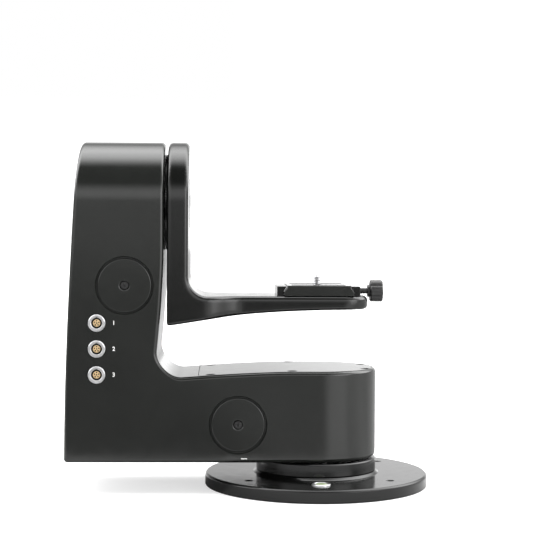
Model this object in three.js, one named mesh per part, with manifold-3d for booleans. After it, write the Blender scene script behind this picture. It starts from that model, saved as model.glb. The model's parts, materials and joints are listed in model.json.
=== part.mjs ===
// Motorised pan and tilt gimbal head for a video camera.
// An L-shaped housing turns on a round mounting base (pan). A second L-shaped arm hangs on a
// shaft at the top of the housing and carries the camera platform (tilt).
// Millimetres, +Z up. The origin is on the pan axis, at the underside of the base.
// +X points from the upright of the housing to the pan axis, and -Y is the front.
import * as THREE from 'three';
import { mergeVertices } from 'three/addons/utils/BufferGeometryUtils.js';
import Module from 'manifold-3d';

const wasm = await Module();
wasm.setup();

// ---------------------------------------------------------------- driving dimensions
const GAP = 0.3;                  // clearance kept between touching pieces
const WALL = 4;                   // wall of the housing

const BASE_R = 88;                // mounting flange
const BASE_T = 10;
const BASE_CHAMFER = 1.1;
const BASE_COVER_R = 52;          // flush plate under the base
const BASE_COVER_T = 3;
const BASE_HOLE_R = 2.75;         // four mounting holes
const BASE_HOLE_CIRCLE_R = 70.6;
const BASE_HOLE_ANGLE = 40;       // degrees from the side to side line
const LEVEL_R = 7.2;              // bull's-eye level in the flange
const LEVEL_Y = -64;

const NECK_R = 47.4;              // round neck under the housing
const NECK_SEAT_Z = 12.1;
const NECK_TOP = 22.4;
const NECK_BORE_R = 41.3;
const SPINDLE_R = 17.5;           // fixed hollow pan spindle
const SPINDLE_BORE_R = 11.5;
const SPINDLE_TOP = 80;

const HEAD_R = 47;                // half depth of the housing and radius of its round ends
const HEAD_BOTTOM = 23.7;
const HEAD_TOP = 93.4;
const HEAD_LEFT = -195.2;         // outer side of the upright at its foot
const HEAD_LEAN = 10.2;           // how far that side leans in at the very top
const HEAD_INNER = -119.8;        // side of the upright that faces the tilt arm
const HEAD_DRAW = 4.9;            // how far that side draws back below the tilt axis
const FOOT_SINK = 5.1;            // how far the top of the foot sinks towards the upright
const HEAD_EDGE = 3;              // rounding of the housing's edges
const HEAD_CORNER_R = 17.3;       // inside corner between upright and foot
const TILT_Z = 223.1;             // height of the tilt axis
const REAR_WALL = 8;
const STATIONS = [-115, -90, -65, -42, -20];   // places in X where the long sides have corners

const COVER_T = 3.5;              // top cover of the foot
const COVER_INSET = 3;
const COVER_LEFT = -93;
const COVER_LEDGE = 12;           // width of the rim that carries the cover
const COVER_CORNER_R = 5;
const COVER_SCREWS = [[-84, 38], [-21, 38], [37, 17.5]].flatMap(([x, y]) => [[x, y], [x, -y]]);
const COVER_SCREW_R = 3.2;
const REAR_COVER = { left: -184, right: -130, bottom: 38, top: 194 };
const REAR_COVER_T = 3;
const REAR_COVER_CORNER_R = 5.7;
const HATCH_INSET = 7;            // width of the rim that carries the rear cover
const REAR_SCREWS = [-1, 1].flatMap((i) => [-1, 1].map((k) => [-157 + 23.2 * i, 116 + 74.2 * k]));
const REAR_SCREW_R = 2.7;
const SCREW_SHANK_R = 1.5;        // all the small screws are M3
const SCREW_HOLE_R = 1.8;
const INLET = [-157, 66];         // X and Z of the power inlet in the rear cover
const INLET_R = 7;
const SWITCH = [-157, 100];       // X and Z of the power switch
const ROCKER_Y = HEAD_R - 2;      // pivot of its rocker
const ROCKER_TILT = 7;            // degrees, either side of the middle

const PAN_BOSS_R = 30;            // bearing bosses inside the housing
const PAN_BOSS_TOP = 57;
const PAN_BEARING_R = 23.5;
const PAN_BEARING_SEAT_Z = 26;
const TILT_BOSS_R = 22;
const TILT_BOSS_LEFT = -145.3;
const TILT_BEARING_R = 17.5;
const TILT_BEARING_SEAT_X = -121.5;

const PAN_MOTOR_X = -62.5;
const TILT_MOTOR_Z = 158.6;
const MOTOR_R = 21;
const DRIVE_PULLEY_R = 8;
const PAN_PULLEY_R = 30;
const TILT_PULLEY_R = 28;
const BELT_T = 1.7;
const PULLEY_W = 10;
const PAN_PULLEY_Z = 61;          // underside of the pan belt drive
const TILT_PULLEY_X = -160.5;     // outer side of the tilt belt drive

const ACCESS_R = 21.6;            // round access covers on the front
const ACCESS_RIM = 4;             // width of the step that they rest on
const ACCESS_PLACES = [[-149.3, 159], [-62.5, 52.8]];
const SOCKET_R = 6.6;             // round lens control sockets on the front
const SOCKET_BORE_R = 4.1;
const SOCKET_BARREL_R = 5.5;
const SOCKET_X = -170.1;
const SOCKET_Z = [130.4, 110.7, 91];

const SHAFT_R = 10;               // hollow tilt shaft
const SHAFT_BORE_R = 5;
const SHAFT_LEFT = -167.5;
const SHAFT_RIGHT = -104.5;
const HUB_R = 37.6;               // hub flange in the gap between housing and tilt arm

const ARM_LEFT = -117.3;          // tilt arm
const ARM_T = 16.3;               // thickness of its upright
const ARM_R = 47;                 // half depth of the upright and radius of its top
const ARM_BOTTOM = 128.1;
const DECK_TOP = 150.5;           // camera platform
const DECK_BOTTOM = 140.1;
const DECK_END = 39;
const DECK_HALF = 34;             // half depth of the platform
const DECK_CORNER_R = 15.6;       // inside corner between upright and platform
const DECK_END_R = 20;            // rounding of the platform's end, in plan
const DECK_NARROWS = [-94, -54];  // where the platform narrows, along X
const CAP_R = 20;                 // cap over the end of the tilt shaft
const SENSOR = { left: -58, right: -28, half: 16 };   // motion sensor in the platform

const PLATE_HALF_X = 27;          // sliding camera plate
const PLATE_HALF_Y = 32;
const PLATE_T = 8;
const PLATE_LIP = 2.4;            // how far its dovetail stands out
const RAIL_X = PLATE_HALF_X + 0.4;
const RAIL_T = 5;
const RAIL_HALF_Y = 26;
const CAMERA_SCREW_R = 3.1;
const CAMERA_SCREW_HEAD_R = 7;
const KNOB_X = DECK_END + GAP;    // clamp knob at the platform's end
const KNOB_Z = DECK_TOP + 3.2;
const KNOB_STEM_R = 2.4;

// ---------------------------------------------------------------- materials
function finish(color, roughness, metalness) {
  return new THREE.MeshStandardMaterial({ color, roughness, metalness });
}
const blackPaint = () => finish(0x2e302e, 0.42, 0.3);
const blackPlastic = () => finish(0x1b1c1c, 0.55, 0.0);
const brushedSteel = () => finish(0xb8babd, 0.32, 1.0);
const aluminium = () => finish(0xa9abad, 0.45, 1.0);
const gold = () => finish(0xd2a45c, 0.3, 1.0);
const rubber = () => finish(0x151515, 0.85, 0.0);
const boardGreen = () => finish(0x1d5a38, 0.5, 0.1);
const levelLiquid = () => finish(0xc6e58a, 0.1, 0.0);

// ---------------------------------------------------------------- solids
// A closed geometry becomes a solid: shared corners are merged, triangles without area go,
// and all faces are made to point out.
function solid(geometry) {
  geometry.deleteAttribute('normal');
  geometry.deleteAttribute('uv');
  const merged = mergeVertices(geometry, 1e-4);
  const corners = merged.index.array;
  const places = merged.attributes.position.array;
  const kept = [];
  for (let i = 0; i < corners.length; i += 3) {
    const [a, b, c] = [corners[i], corners[i + 1], corners[i + 2]];
    if (a !== b && b !== c && c !== a) kept.push(a, b, c);
  }
  if (signedVolume(kept, places) < 0) kept.reverse();
  return new wasm.Manifold(new wasm.Mesh({
    numProp: 3,
    vertProperties: new Float32Array(places),
    triVerts: new Uint32Array(kept),
  }));
}

function signedVolume(corners, places) {
  const at = (i) => new THREE.Vector3().fromArray(places, 3 * i);
  let volume = 0;
  for (let i = 0; i < corners.length; i += 3) {
    volume += at(corners[i]).dot(at(corners[i + 1]).cross(at(corners[i + 2])));
  }
  return volume;
}

function mesh(name, body, material) {
  const { vertProperties, triVerts } = body.getMesh();
  const geometry = new THREE.BufferGeometry();
  geometry.setAttribute('position', new THREE.BufferAttribute(vertProperties, 3));
  geometry.setIndex(new THREE.BufferAttribute(triVerts, 1));
  geometry.computeVertexNormals();
  const result = new THREE.Mesh(geometry, material);
  result.name = name;
  return result;
}

// Turns a geometry made along +Z so that it runs along another direction.
function point(geometry, direction) {
  if (direction === '+x') geometry.rotateY(Math.PI / 2);
  if (direction === '-y') geometry.rotateX(Math.PI / 2);
  if (direction === '+y') geometry.rotateX(-Math.PI / 2);
  return geometry;
}

// A turned piece: the profile is a list of [radius, distance along the axis]. It closes on
// itself, so a piece without a bore names its two points on the axis.
function turned(profile, { segments = 20, direction = '+z', at = [0, 0, 0] } = {}) {
  const section = [...profile, profile[0]].map(([r, z]) => new THREE.Vector2(r, z));
  const geometry = new THREE.LatheGeometry(section, segments).rotateX(Math.PI / 2);
  return solid(point(geometry, direction).translate(...at));
}

function disc(radius, from, to, options) {
  return turned([[0, from], [radius, from], [radius, to], [0, to]], options);
}

function ring(inner, outer, from, to, options) {
  return turned([[inner, from], [outer, from], [outer, to], [inner, to]], options);
}

function box(low, high) {
  const size = high.map((value, i) => value - low[i]);
  const centre = high.map((value, i) => (value + low[i]) / 2);
  return solid(new THREE.BoxGeometry(...size).translate(...centre));
}

// An outline drawn in X and Y, raised from z = from to z = to, with rounded edges on request.
function raised(shape, from, to, edge = 0, curveSegments = 5) {
  const geometry = new THREE.ExtrudeGeometry(shape, {
    depth: to - from - 2 * edge,
    bevelEnabled: edge > 0,
    bevelThickness: edge,
    bevelSize: edge,
    bevelOffset: -edge,
    bevelSegments: 2,
    curveSegments,
  });
  return geometry.translate(0, 0, from + edge);
}

// An outline drawn in X and Z, as seen from the front, and given its depth along Y.
function fromFront(shape, halfDepth, edge = 0, curveSegments = 5) {
  return raised(shape, -halfDepth, halfDepth, edge, curveSegments).rotateX(Math.PI / 2);
}

// An outline drawn in Y and Z, as seen from the side, and given its length along X.
function fromSide(shape, from, to, edge = 0, curveSegments = 5) {
  const geometry = raised(shape, from, to, edge, curveSegments);
  return moveCorners(geometry, (x, y, z) => [z, x, y]);
}

function moveCorners(geometry, place) {
  const corners = geometry.attributes.position;
  for (let i = 0; i < corners.count; i += 1) {
    corners.setXYZ(i, ...place(corners.getX(i), corners.getY(i), corners.getZ(i)));
  }
  return geometry;
}

function outline(points) {
  return new THREE.Shape(points.map(([x, y]) => new THREE.Vector2(x, y)));
}

function roundedRectangle(left, right, bottom, top, radius) {
  const shape = new THREE.Shape();
  shape.absarc(right - radius, bottom + radius, radius, -Math.PI / 2, 0);
  shape.absarc(right - radius, top - radius, radius, 0, Math.PI / 2);
  shape.absarc(left + radius, top - radius, radius, Math.PI / 2, Math.PI);
  shape.absarc(left + radius, bottom + radius, radius, Math.PI, 1.5 * Math.PI);
  return shape;
}

// ---------------------------------------------------------------- outlines of the housing
// The outer side of the upright leans in towards the top along a gentle curve.
function headLeft(z) {
  const rise = THREE.MathUtils.clamp((z - HEAD_BOTTOM) / (TILT_Z + HEAD_R - HEAD_BOTTOM), 0, 1);
  return HEAD_LEFT + HEAD_LEAN * rise ** 1.7;
}

// The inner side is flat around the tilt axis and draws back a little below it.
function headRight(z) {
  const flatFrom = 185;
  const fall = THREE.MathUtils.clamp((flatFrom - z) / 77, 0, 1.3);
  return HEAD_INNER - HEAD_DRAW * fall ** 1.6;
}

// The top of the foot is flat over the pan axis and sinks slightly towards the upright.
function footTop(x) {
  const run = THREE.MathUtils.clamp((-20 - x) / 95, 0, 1.4);
  return HEAD_TOP - FOOT_SINK * run ** 1.5;
}

// The upright: half round at the top, about the tilt axis.
function headUpright(inset, edge) {
  const half = HEAD_R - inset;
  const levels = [60, 95, 130, 160, 190];
  const shape = new THREE.Shape();
  shape.moveTo(-half, HEAD_BOTTOM + inset);
  shape.lineTo(half, HEAD_BOTTOM + inset);
  levels.forEach((z) => shape.lineTo(half, z));
  shape.absarc(0, TILT_Z, half, 0, Math.PI);
  levels.reverse().forEach((z) => shape.lineTo(-half, z));
  const middle = (HEAD_LEFT + HEAD_INNER) / 2;
  const geometry = fromSide(shape, HEAD_LEFT, HEAD_INNER, edge, edge ? 14 : 7);
  return solid(moveCorners(geometry, (x, y, z) => {
    if (x < middle) return [headLeft(z) + inset + (x - HEAD_LEFT), y, z];
    return [headRight(z) - inset + (x - HEAD_INNER), y, z];
  }));
}

// The outline of the foot in plan: half round about the pan axis.
function footPlan(inset, left) {
  const half = HEAD_R - inset;
  const stations = STATIONS.filter((x) => x > left + 5);
  const shape = new THREE.Shape();
  shape.moveTo(left, half);
  shape.lineTo(left, -half);
  stations.forEach((x) => shape.lineTo(x, -half));
  shape.absarc(0, 0, half, -Math.PI / 2, Math.PI / 2);
  stations.reverse().forEach((x) => shape.lineTo(x, half));
  return shape;
}

// Lowers the upper corners of a piece of the foot so that they follow its sinking top.
function followTop(geometry, above) {
  return moveCorners(geometry, (x, y, z) => {
    if (z < above) return [x, y, z];
    return [x, y, z - (HEAD_TOP - footTop(x))];
  });
}

function headFoot(inset, top, edge, left) {
  const geometry = raised(footPlan(inset, left), HEAD_BOTTOM + inset, top, edge, edge ? 14 : 7);
  return solid(followTop(geometry, (HEAD_BOTTOM + top) / 2));
}

// The hollow of the inside corner between upright and foot.
function headCorner() {
  const tangentX = -105.4;
  const centreZ = footTop(tangentX) + HEAD_CORNER_R;
  const sideX = headRight(centreZ);
  const [buriedX, buriedZ] = [sideX - 10, footTop(tangentX) - 7];
  const shape = new THREE.Shape();
  shape.moveTo(buriedX, buriedZ);
  shape.lineTo(tangentX, buriedZ);
  shape.lineTo(tangentX, footTop(tangentX));
  shape.absellipse(tangentX, centreZ, tangentX - sideX, HEAD_CORNER_R, -Math.PI / 2, -Math.PI, true);
  shape.lineTo(buriedX, centreZ);
  return solid(fromFront(shape, HEAD_R, HEAD_EDGE, 5));
}

function coverPlan(inset) {
  const half = HEAD_R - COVER_INSET - inset;
  const left = COVER_LEFT + inset;
  const corner = Math.max(COVER_CORNER_R - inset, 1);
  const stations = STATIONS.filter((x) => x > COVER_LEFT + 5);
  const shape = new THREE.Shape();
  shape.moveTo(left + corner, -half);
  stations.forEach((x) => shape.lineTo(x, -half));
  shape.absarc(0, 0, half, -Math.PI / 2, Math.PI / 2);
  stations.reverse().forEach((x) => shape.lineTo(x, half));
  shape.absarc(left + corner, half - corner, corner, Math.PI / 2, Math.PI);
  shape.absarc(left + corner, -half + corner, corner, Math.PI, 1.5 * Math.PI);
  return shape;
}

function coverSlab(inset, from, to) {
  const geometry = raised(coverPlan(inset), from, to, 0, inset > 0 ? 7 : 14);
  return solid(moveCorners(geometry, (x, y, z) => [x, y, z - (HEAD_TOP - footTop(x))]));
}

// ---------------------------------------------------------------- base
function mountingHole(at) {
  const outer = BASE_HOLE_R + 0.5;
  return turned([
    [0, BASE_T + 1], [outer, BASE_T + 1], [outer, BASE_T], [BASE_HOLE_R, BASE_T - 0.5],
    [BASE_HOLE_R, -1], [0, -1],
  ], { segments: 12, at });
}

function baseFlange() {
  let flange = turned([
    [SPINDLE_BORE_R, BASE_COVER_T + GAP], [BASE_COVER_R + GAP, BASE_COVER_T + GAP],
    [BASE_COVER_R + GAP, 0], [BASE_R, 0], [BASE_R, BASE_T - BASE_CHAMFER],
    [BASE_R - BASE_CHAMFER, BASE_T], [NECK_R + 2.2, BASE_T], [NECK_R + 0.6, NECK_SEAT_Z - 0.8],
    [NECK_R, NECK_SEAT_Z], [SPINDLE_BORE_R, NECK_SEAT_Z],
  ], { segments: 48 });
  const angle = THREE.MathUtils.degToRad(BASE_HOLE_ANGLE);
  for (const [i, k] of [[1, 1], [1, -1], [-1, 1], [-1, -1]]) {
    const place = [i * BASE_HOLE_CIRCLE_R * Math.cos(angle), k * BASE_HOLE_CIRCLE_R * Math.sin(angle), 0];
    flange = flange.subtract(mountingHole(place));
  }
  const levelPocket = disc(LEVEL_R + GAP, BASE_T - 5, BASE_T + 1, { at: [0, LEVEL_Y, 0] });
  return flange.subtract(levelPocket);
}

function levelBezel() {
  const bottom = BASE_T - 5 + GAP;
  return turned([
    [0, bottom], [LEVEL_R, bottom], [LEVEL_R, BASE_T + 0.6], [LEVEL_R - 0.6, BASE_T + 1.1],
    [5.4, BASE_T + 1.1], [5.1, BASE_T + 0.6], [5.1, bottom + 1.5], [0, bottom + 1.5],
  ], { at: [0, LEVEL_Y, 0] });
}

function levelVial() {
  const bottom = BASE_T - 5 + GAP + 1.5 + GAP;
  return turned([
    [0, bottom], [4.8, bottom], [4.8, BASE_T + 0.7], [3, BASE_T + 1.2], [0, BASE_T + 1.5],
  ], { segments: 16, at: [0, LEVEL_Y, 0] });
}

function neckCollar() {
  const lip = SPINDLE_R + 0.6;
  return turned([
    [NECK_BORE_R, NECK_SEAT_Z + GAP], [NECK_R, NECK_SEAT_Z + GAP], [NECK_R, NECK_TOP - 0.8],
    [NECK_R - 0.8, NECK_TOP], [lip, NECK_TOP], [lip, NECK_TOP - 2.4], [NECK_BORE_R, NECK_TOP - 2.4],
  ], { segments: 40 });
}

function panSpindle() {
  const foot = NECK_SEAT_Z + GAP;
  const footR = NECK_BORE_R - 3.3;
  return turned([
    [SPINDLE_BORE_R, foot], [footR, foot], [footR, foot + 5.5], [SPINDLE_R, foot + 5.5],
    [SPINDLE_R, SPINDLE_TOP], [SPINDLE_BORE_R, SPINDLE_TOP],
  ], { segments: 24 });
}

// A belt pulley between two thin flanges, bored for its shaft.
function pulley(bore, radius, width, start, options) {
  const rim = radius + 3;
  return turned([
    [bore, start], [rim, start], [rim, start + 1], [radius, start + 1],
    [radius, start + width - 1], [rim, start + width - 1], [rim, start + width],
    [bore, start + width],
  ], options);
}

// A motor's pulley, with the stub of its shaft that goes through the bracket into the motor.
// It runs from the given place up or down its axis.
function drivePulley(start, stub, way, options) {
  const rim = DRIVE_PULLEY_R + 3;
  const end = stub + PULLEY_W;
  return turned([
    [0, 0], [2.5, 0], [2.5, stub], [rim, stub], [rim, stub + 1], [DRIVE_PULLEY_R, stub + 1],
    [DRIVE_PULLEY_R, end - 1], [rim, end - 1], [rim, end], [0, end],
  ].map(([r, along]) => [r, start + way * along]), { segments: 12, ...options });
}

function panBearing(start) {
  return ring(SPINDLE_R + GAP, PAN_BEARING_R, start, start + 10.7, { segments: 24 });
}

function slipRingStator() {
  const radius = SPINDLE_BORE_R - 0.5;
  return turned([
    [0, 44], [radius, 44], [radius, SPINDLE_TOP + GAP], [SPINDLE_R - 1, SPINDLE_TOP + GAP],
    [SPINDLE_R - 1, SPINDLE_TOP + 1.5], [0, SPINDLE_TOP + 1.5],
  ], { segments: 16 });
}

// ---------------------------------------------------------------- pan housing
function frontHole(radius, depth, x, z, segments = 16) {
  return disc(radius, HEAD_R - depth, HEAD_R + 2, { direction: '-y', at: [x, 0, z], segments });
}

// The rooms inside the housing: one in the upright, in front of its thick back wall, and one in
// the foot, open at the top.
function headRooms() {
  const frontPart = box([-200, -HEAD_R, 0], [-100, HEAD_R - REAR_WALL, 300]);
  const backPart = box([-200, HEAD_R - REAR_WALL, 0], [-100, HEAD_R + 10, 300]);
  return headUpright(WALL, 0).intersect(frontPart)
    .add(headFoot(WALL, HEAD_TOP - 8, 0, -135).subtract(backPart))
    .add(coverSlab(COVER_LEDGE, 70, HEAD_TOP + 3));
}

function panBore() {
  const bearing = PAN_BEARING_R + GAP;
  const neck = SPINDLE_R + 1.5;
  return turned([
    [0, 20], [neck, 20], [neck, PAN_BEARING_SEAT_Z], [bearing, PAN_BEARING_SEAT_Z],
    [bearing, PAN_BOSS_TOP + 2], [0, PAN_BOSS_TOP + 2],
  ], { segments: 24 });
}

function tiltBore() {
  const bearing = TILT_BEARING_R + GAP;
  const neck = SHAFT_R + 3;
  return alongTilt([
    [0, -150], [bearing, -150], [bearing, TILT_BEARING_SEAT_X], [neck, TILT_BEARING_SEAT_X],
    [neck, -110], [0, -110],
  ]);
}

function headShell() {
  let shell = headUpright(0, HEAD_EDGE)
    .add(headFoot(0, HEAD_TOP, HEAD_EDGE, -150))
    .add(headCorner())
    .subtract(headRooms())
    .add(disc(TILT_BOSS_R, TILT_BOSS_LEFT, HEAD_INNER - 1, { direction: '+x', at: [0, 0, TILT_Z] }))
    .add(disc(PAN_BOSS_R, HEAD_BOTTOM + 1, PAN_BOSS_TOP, { segments: 24 }))
    .subtract(panBore())
    .subtract(tiltBore())
    .subtract(coverSlab(-GAP, HEAD_TOP - COVER_T - GAP, HEAD_TOP + 3))
    .subtract(rearOpening());
  for (const [x, z] of ACCESS_PLACES) {
    shell = shell.subtract(frontHole(ACCESS_R, 2.8, x, z, 32));
    shell = shell.subtract(frontHole(ACCESS_R - ACCESS_RIM + GAP, 10, x, z, 24));
  }
  for (const z of SOCKET_Z) {
    shell = shell.subtract(frontHole(SOCKET_BARREL_R + GAP, 10, SOCKET_X, z));
  }
  for (const [x, y] of COVER_SCREWS) {
    shell = shell.subtract(disc(SCREW_HOLE_R, HEAD_TOP - 16, HEAD_TOP, { segments: 8, at: [x, y, 0] }));
  }
  return shell;
}

// A slab at the back of the upright, between two depths along Y.
function rearSlab(shape, from, to) {
  return solid(fromFront(shape, (to - from) / 2).translate(0, (to + from) / 2, 0));
}

function rearOpening() {
  const { left, right, bottom, top } = REAR_COVER;
  const rebate = roundedRectangle(
    left - GAP, right + GAP, bottom - GAP, top + GAP, REAR_COVER_CORNER_R + GAP,
  );
  const hatch = roundedRectangle(
    left + HATCH_INSET, right - HATCH_INSET, bottom + HATCH_INSET, top - HATCH_INSET, 4,
  );
  let opening = rearSlab(rebate, HEAD_R - REAR_COVER_T - GAP, HEAD_R + 2)
    .add(rearSlab(hatch, HEAD_R - REAR_WALL - 2, HEAD_R + 1));
  for (const [x, z] of REAR_SCREWS) {
    const options = { direction: '+y', at: [x, 0, z], segments: 8 };
    opening = opening.add(disc(SCREW_HOLE_R, HEAD_R - REAR_WALL - 1, HEAD_R, options));
  }
  return opening;
}

function topCover() {
  let cover = coverSlab(0, HEAD_TOP - COVER_T, HEAD_TOP);
  for (const [x, y] of COVER_SCREWS) {
    cover = cover.subtract(disc(COVER_SCREW_R + GAP, 60, 100, { at: [x, y, 0], segments: 12 }));
  }
  return cover;
}

function coverScrew(x, y) {
  const top = footTop(x) - 0.5;
  const recess = disc(1.4, top - 1.4, top + 1, { segments: 6, at: [x, y, 0] });
  const body = turned([
    [0, top - 7.5], [SCREW_SHANK_R, top - 7.5], [SCREW_SHANK_R, top - 2.7], [COVER_SCREW_R, top - 2.7],
    [COVER_SCREW_R, top], [0, top],
  ], { segments: 12, at: [x, y, 0] });
  return body.subtract(recess);
}

function rearCover() {
  const { left, right, bottom, top } = REAR_COVER;
  const plate = roundedRectangle(left, right, bottom, top, REAR_COVER_CORNER_R);
  let cover = rearSlab(plate, HEAD_R - REAR_COVER_T, HEAD_R);
  for (const [x, z] of REAR_SCREWS) {
    const hole = turned([
      [0, 40], [SCREW_HOLE_R, 40], [SCREW_HOLE_R, HEAD_R - 1.9], [REAR_SCREW_R + GAP, HEAD_R - 0.6],
      [REAR_SCREW_R + GAP, HEAD_R + 1], [0, HEAD_R + 1],
    ], { direction: '+y', at: [x, 0, z], segments: 10 });
    cover = cover.subtract(hole);
  }
  const inletHole = disc(INLET_R + GAP, 40, 50, inletOptions(16));
  const [x, z] = SWITCH;
  return cover.subtract(inletHole).subtract(box([x - 4.3, 40, z - 7.4], [x + 4.3, 50, z + 7.4]));
}

function rearScrew(x, z) {
  const end = HEAD_R - 0.3;
  const body = turned([
    [0, end - 6], [SCREW_SHANK_R, end - 6], [SCREW_SHANK_R, end - 1.7], [REAR_SCREW_R, end - 0.4],
    [REAR_SCREW_R, end], [0, end],
  ], { direction: '+y', at: [x, 0, z], segments: 10 });
  return body.subtract(disc(1.2, end - 1.2, end + 1, { direction: '+y', at: [x, 0, z], segments: 6 }));
}

function accessCover(x, z) {
  const rim = ACCESS_R - 0.7;
  const plug = ACCESS_R - ACCESS_RIM - 0.4;
  const bore = SCREW_HOLE_R + 0.1;
  return turned([
    [bore, HEAD_R - 4], [plug, HEAD_R - 4], [plug, HEAD_R - 2.5], [rim, HEAD_R - 2.5],
    [rim, HEAD_R - 0.6], [rim - 0.6, HEAD_R], [3.6, HEAD_R], [3.6, HEAD_R - 2.4],
    [bore, HEAD_R - 2.4],
  ], { direction: '-y', at: [x, 0, z], segments: 32 });
}

function accessScrew(x, z) {
  const end = HEAD_R - 0.4;
  return turned([
    [0, end - 6.5], [SCREW_SHANK_R, end - 6.5], [SCREW_SHANK_R, end - 1.7], [3.2, end - 1.7],
    [3.2, end - 0.3], [2.9, end], [1.6, end], [1.6, end - 1], [0, end - 1],
  ], { direction: '-y', at: [x, 0, z], segments: 12 });
}

function socketShell(z) {
  const face = HEAD_R + GAP;
  return turned([
    [SOCKET_BORE_R, 31], [SOCKET_BARREL_R, 31], [SOCKET_BARREL_R, face], [SOCKET_R, face],
    [SOCKET_R, face + 0.7], [SOCKET_R - 0.6, face + 1.3], [SOCKET_BORE_R + 0.4, face + 1.3],
    [SOCKET_BORE_R, face + 0.9],
  ], { direction: '-y', at: [SOCKET_X, 0, z], segments: 16 });
}

function socketInsert(z) {
  const outer = SOCKET_BORE_R - GAP;
  const core = outer - 0.5;
  return turned([
    [0, 28], [outer, 28], [outer, HEAD_R - 1.2], [core, HEAD_R - 1.2], [core, HEAD_R + 0.6],
    [0, HEAD_R + 0.6],
  ], { direction: '-y', at: [SOCKET_X, 0, z], segments: 12 });
}

// A toothed belt round a large and a small pulley. Its plane is X and Y, and the small pulley
// lies on the -X side at the given distance.
function beltLoop(large, small, distance, width) {
  const lean = Math.acos((large - small) / distance);
  const loop = (extra, path) => {
    path.absarc(0, 0, large + extra, Math.PI + lean, 3 * Math.PI - lean);
    path.absarc(-distance, 0, small + extra, Math.PI - lean, Math.PI + lean);
    return path;
  };
  const shape = loop(GAP + BELT_T, new THREE.Shape());
  shape.holes.push(loop(GAP, new THREE.Path()));
  return raised(shape, 0, width, 0, 10);
}

function panBelt() {
  const belt = beltLoop(PAN_PULLEY_R, DRIVE_PULLEY_R, -PAN_MOTOR_X, PULLEY_W - 2 - 2 * GAP);
  return solid(belt.translate(0, 0, PAN_PULLEY_Z + 1 + GAP));
}

function tiltBelt() {
  const belt = beltLoop(TILT_PULLEY_R, DRIVE_PULLEY_R, TILT_Z - TILT_MOTOR_Z, PULLEY_W - 2 - 2 * GAP);
  moveCorners(belt, (x, y, z) => [z, y, x]);
  return solid(belt.translate(TILT_PULLEY_X + 1 + GAP, 0, TILT_Z));
}

function motor(length, start, options) {
  return turned([
    [0, start], [MOTOR_R - 1, start], [MOTOR_R, start + 1], [MOTOR_R, start + length - 1],
    [MOTOR_R - 1, start + length], [0, start + length],
  ], options);
}

// The motor brackets: a plate that carries the motor, and a wall behind the access cover, which
// the cover's screw goes into.
function accessScrewHole([x, z]) {
  return frontHole(1.8, 12, x, z, 12);
}

function panMotorBracket() {
  const half = HEAD_R - WALL - GAP;
  const [left, right] = [PAN_MOTOR_X - 26, PAN_MOTOR_X + 26];
  const floor = HEAD_BOTTOM + WALL + GAP;
  return box([left, -half, 57.3], [right, half, 59.8])
    .add(box([left, -half, floor], [right, -half + 4, 58]))
    .add(box([left, half - 4, floor], [right, half, 58]))
    .subtract(disc(6, 50, 65, { at: [PAN_MOTOR_X, 0, 0], segments: 16 }))
    .subtract(accessScrewHole(ACCESS_PLACES[1]));
}

function tiltMotorBracket() {
  const [front, back] = [-HEAD_R + WALL + GAP, HEAD_R - REAR_WALL - GAP];
  const [low, high] = [TILT_MOTOR_Z - 25, TILT_MOTOR_Z + 25];
  return box([-149.2, front, low], [-146.4, back, high])
    .add(box([-172, front, low + 5], [-147, front + 4, high]))
    .subtract(disc(6, -155, -140, { direction: '+x', at: [0, 0, TILT_MOTOR_Z], segments: 16 }))
    .subtract(accessScrewHole(ACCESS_PLACES[0]));
}

function controlBoard() {
  const board = box([-184, 20, 46], [-134, 21.6, 128]);
  const chips = [[-176, 108, 12], [-160, 100, 16], [-174, 60, 22], [-148, 58, 10]];
  return chips.reduce((body, [x, z, size]) => (
    body.add(box([x, 21, z], [x + size, 25, z + size]))
  ), board);
}

function slipRingRotor() {
  const start = SPINDLE_TOP + 1.5 + GAP;
  return turned([
    [0, start], [14, start], [14, start + 3], [6, start + 3], [6, start + 4.5], [0, start + 4.5],
  ], { segments: 16 });
}

function inletOptions(segments) {
  return { direction: '+y', at: [INLET[0], 0, INLET[1]], segments };
}

function powerInlet() {
  const face = HEAD_R + GAP;
  const flangeR = INLET_R + 2.4;
  const boreR = INLET_R - 1.8;
  const body = turned([
    [0, 30], [INLET_R, 30], [INLET_R, face], [flangeR, face], [flangeR, face + 1.4],
    [flangeR - 0.6, face + 2], [boreR, face + 2], [boreR, 38], [0, 38],
  ], inletOptions(16));
  return body.add(disc(1.2, 37, HEAD_R - 1, inletOptions(8)));
}

function powerRocker() {
  const shape = outline([
    [ROCKER_Y - 5, -4], [ROCKER_Y - 5, 4], [ROCKER_Y + 1.2, 6.3], [ROCKER_Y + 3.2, 6],
    [ROCKER_Y + 1.8, 0], [ROCKER_Y + 3.2, -6], [ROCKER_Y + 1.2, -6.3],
  ]);
  const body = solid(fromSide(shape, SWITCH[0] - 3.9, SWITCH[0] + 3.9));
  return body.translate([0, -ROCKER_Y, 0]).rotate([-ROCKER_TILT, 0, 0])
    .translate([0, ROCKER_Y, SWITCH[1]]);
}

// ---------------------------------------------------------------- tilt assembly
function alongTilt(profile, segments = 20) {
  return turned(profile, { direction: '+x', at: [0, 0, TILT_Z], segments });
}

function tiltShaft() {
  return alongTilt([
    [SHAFT_BORE_R, SHAFT_LEFT], [SHAFT_R, SHAFT_LEFT], [SHAFT_R, SHAFT_RIGHT],
    [SHAFT_BORE_R, SHAFT_RIGHT],
  ]);
}

function lockNut() {
  const [start, end] = [SHAFT_LEFT + 1.2, TILT_PULLEY_X - 0.4];
  return alongTilt([
    [SHAFT_R + GAP, start], [15.5, start], [16.5, start + 1], [16.5, end], [SHAFT_R + GAP, end],
  ], 16);
}

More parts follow.
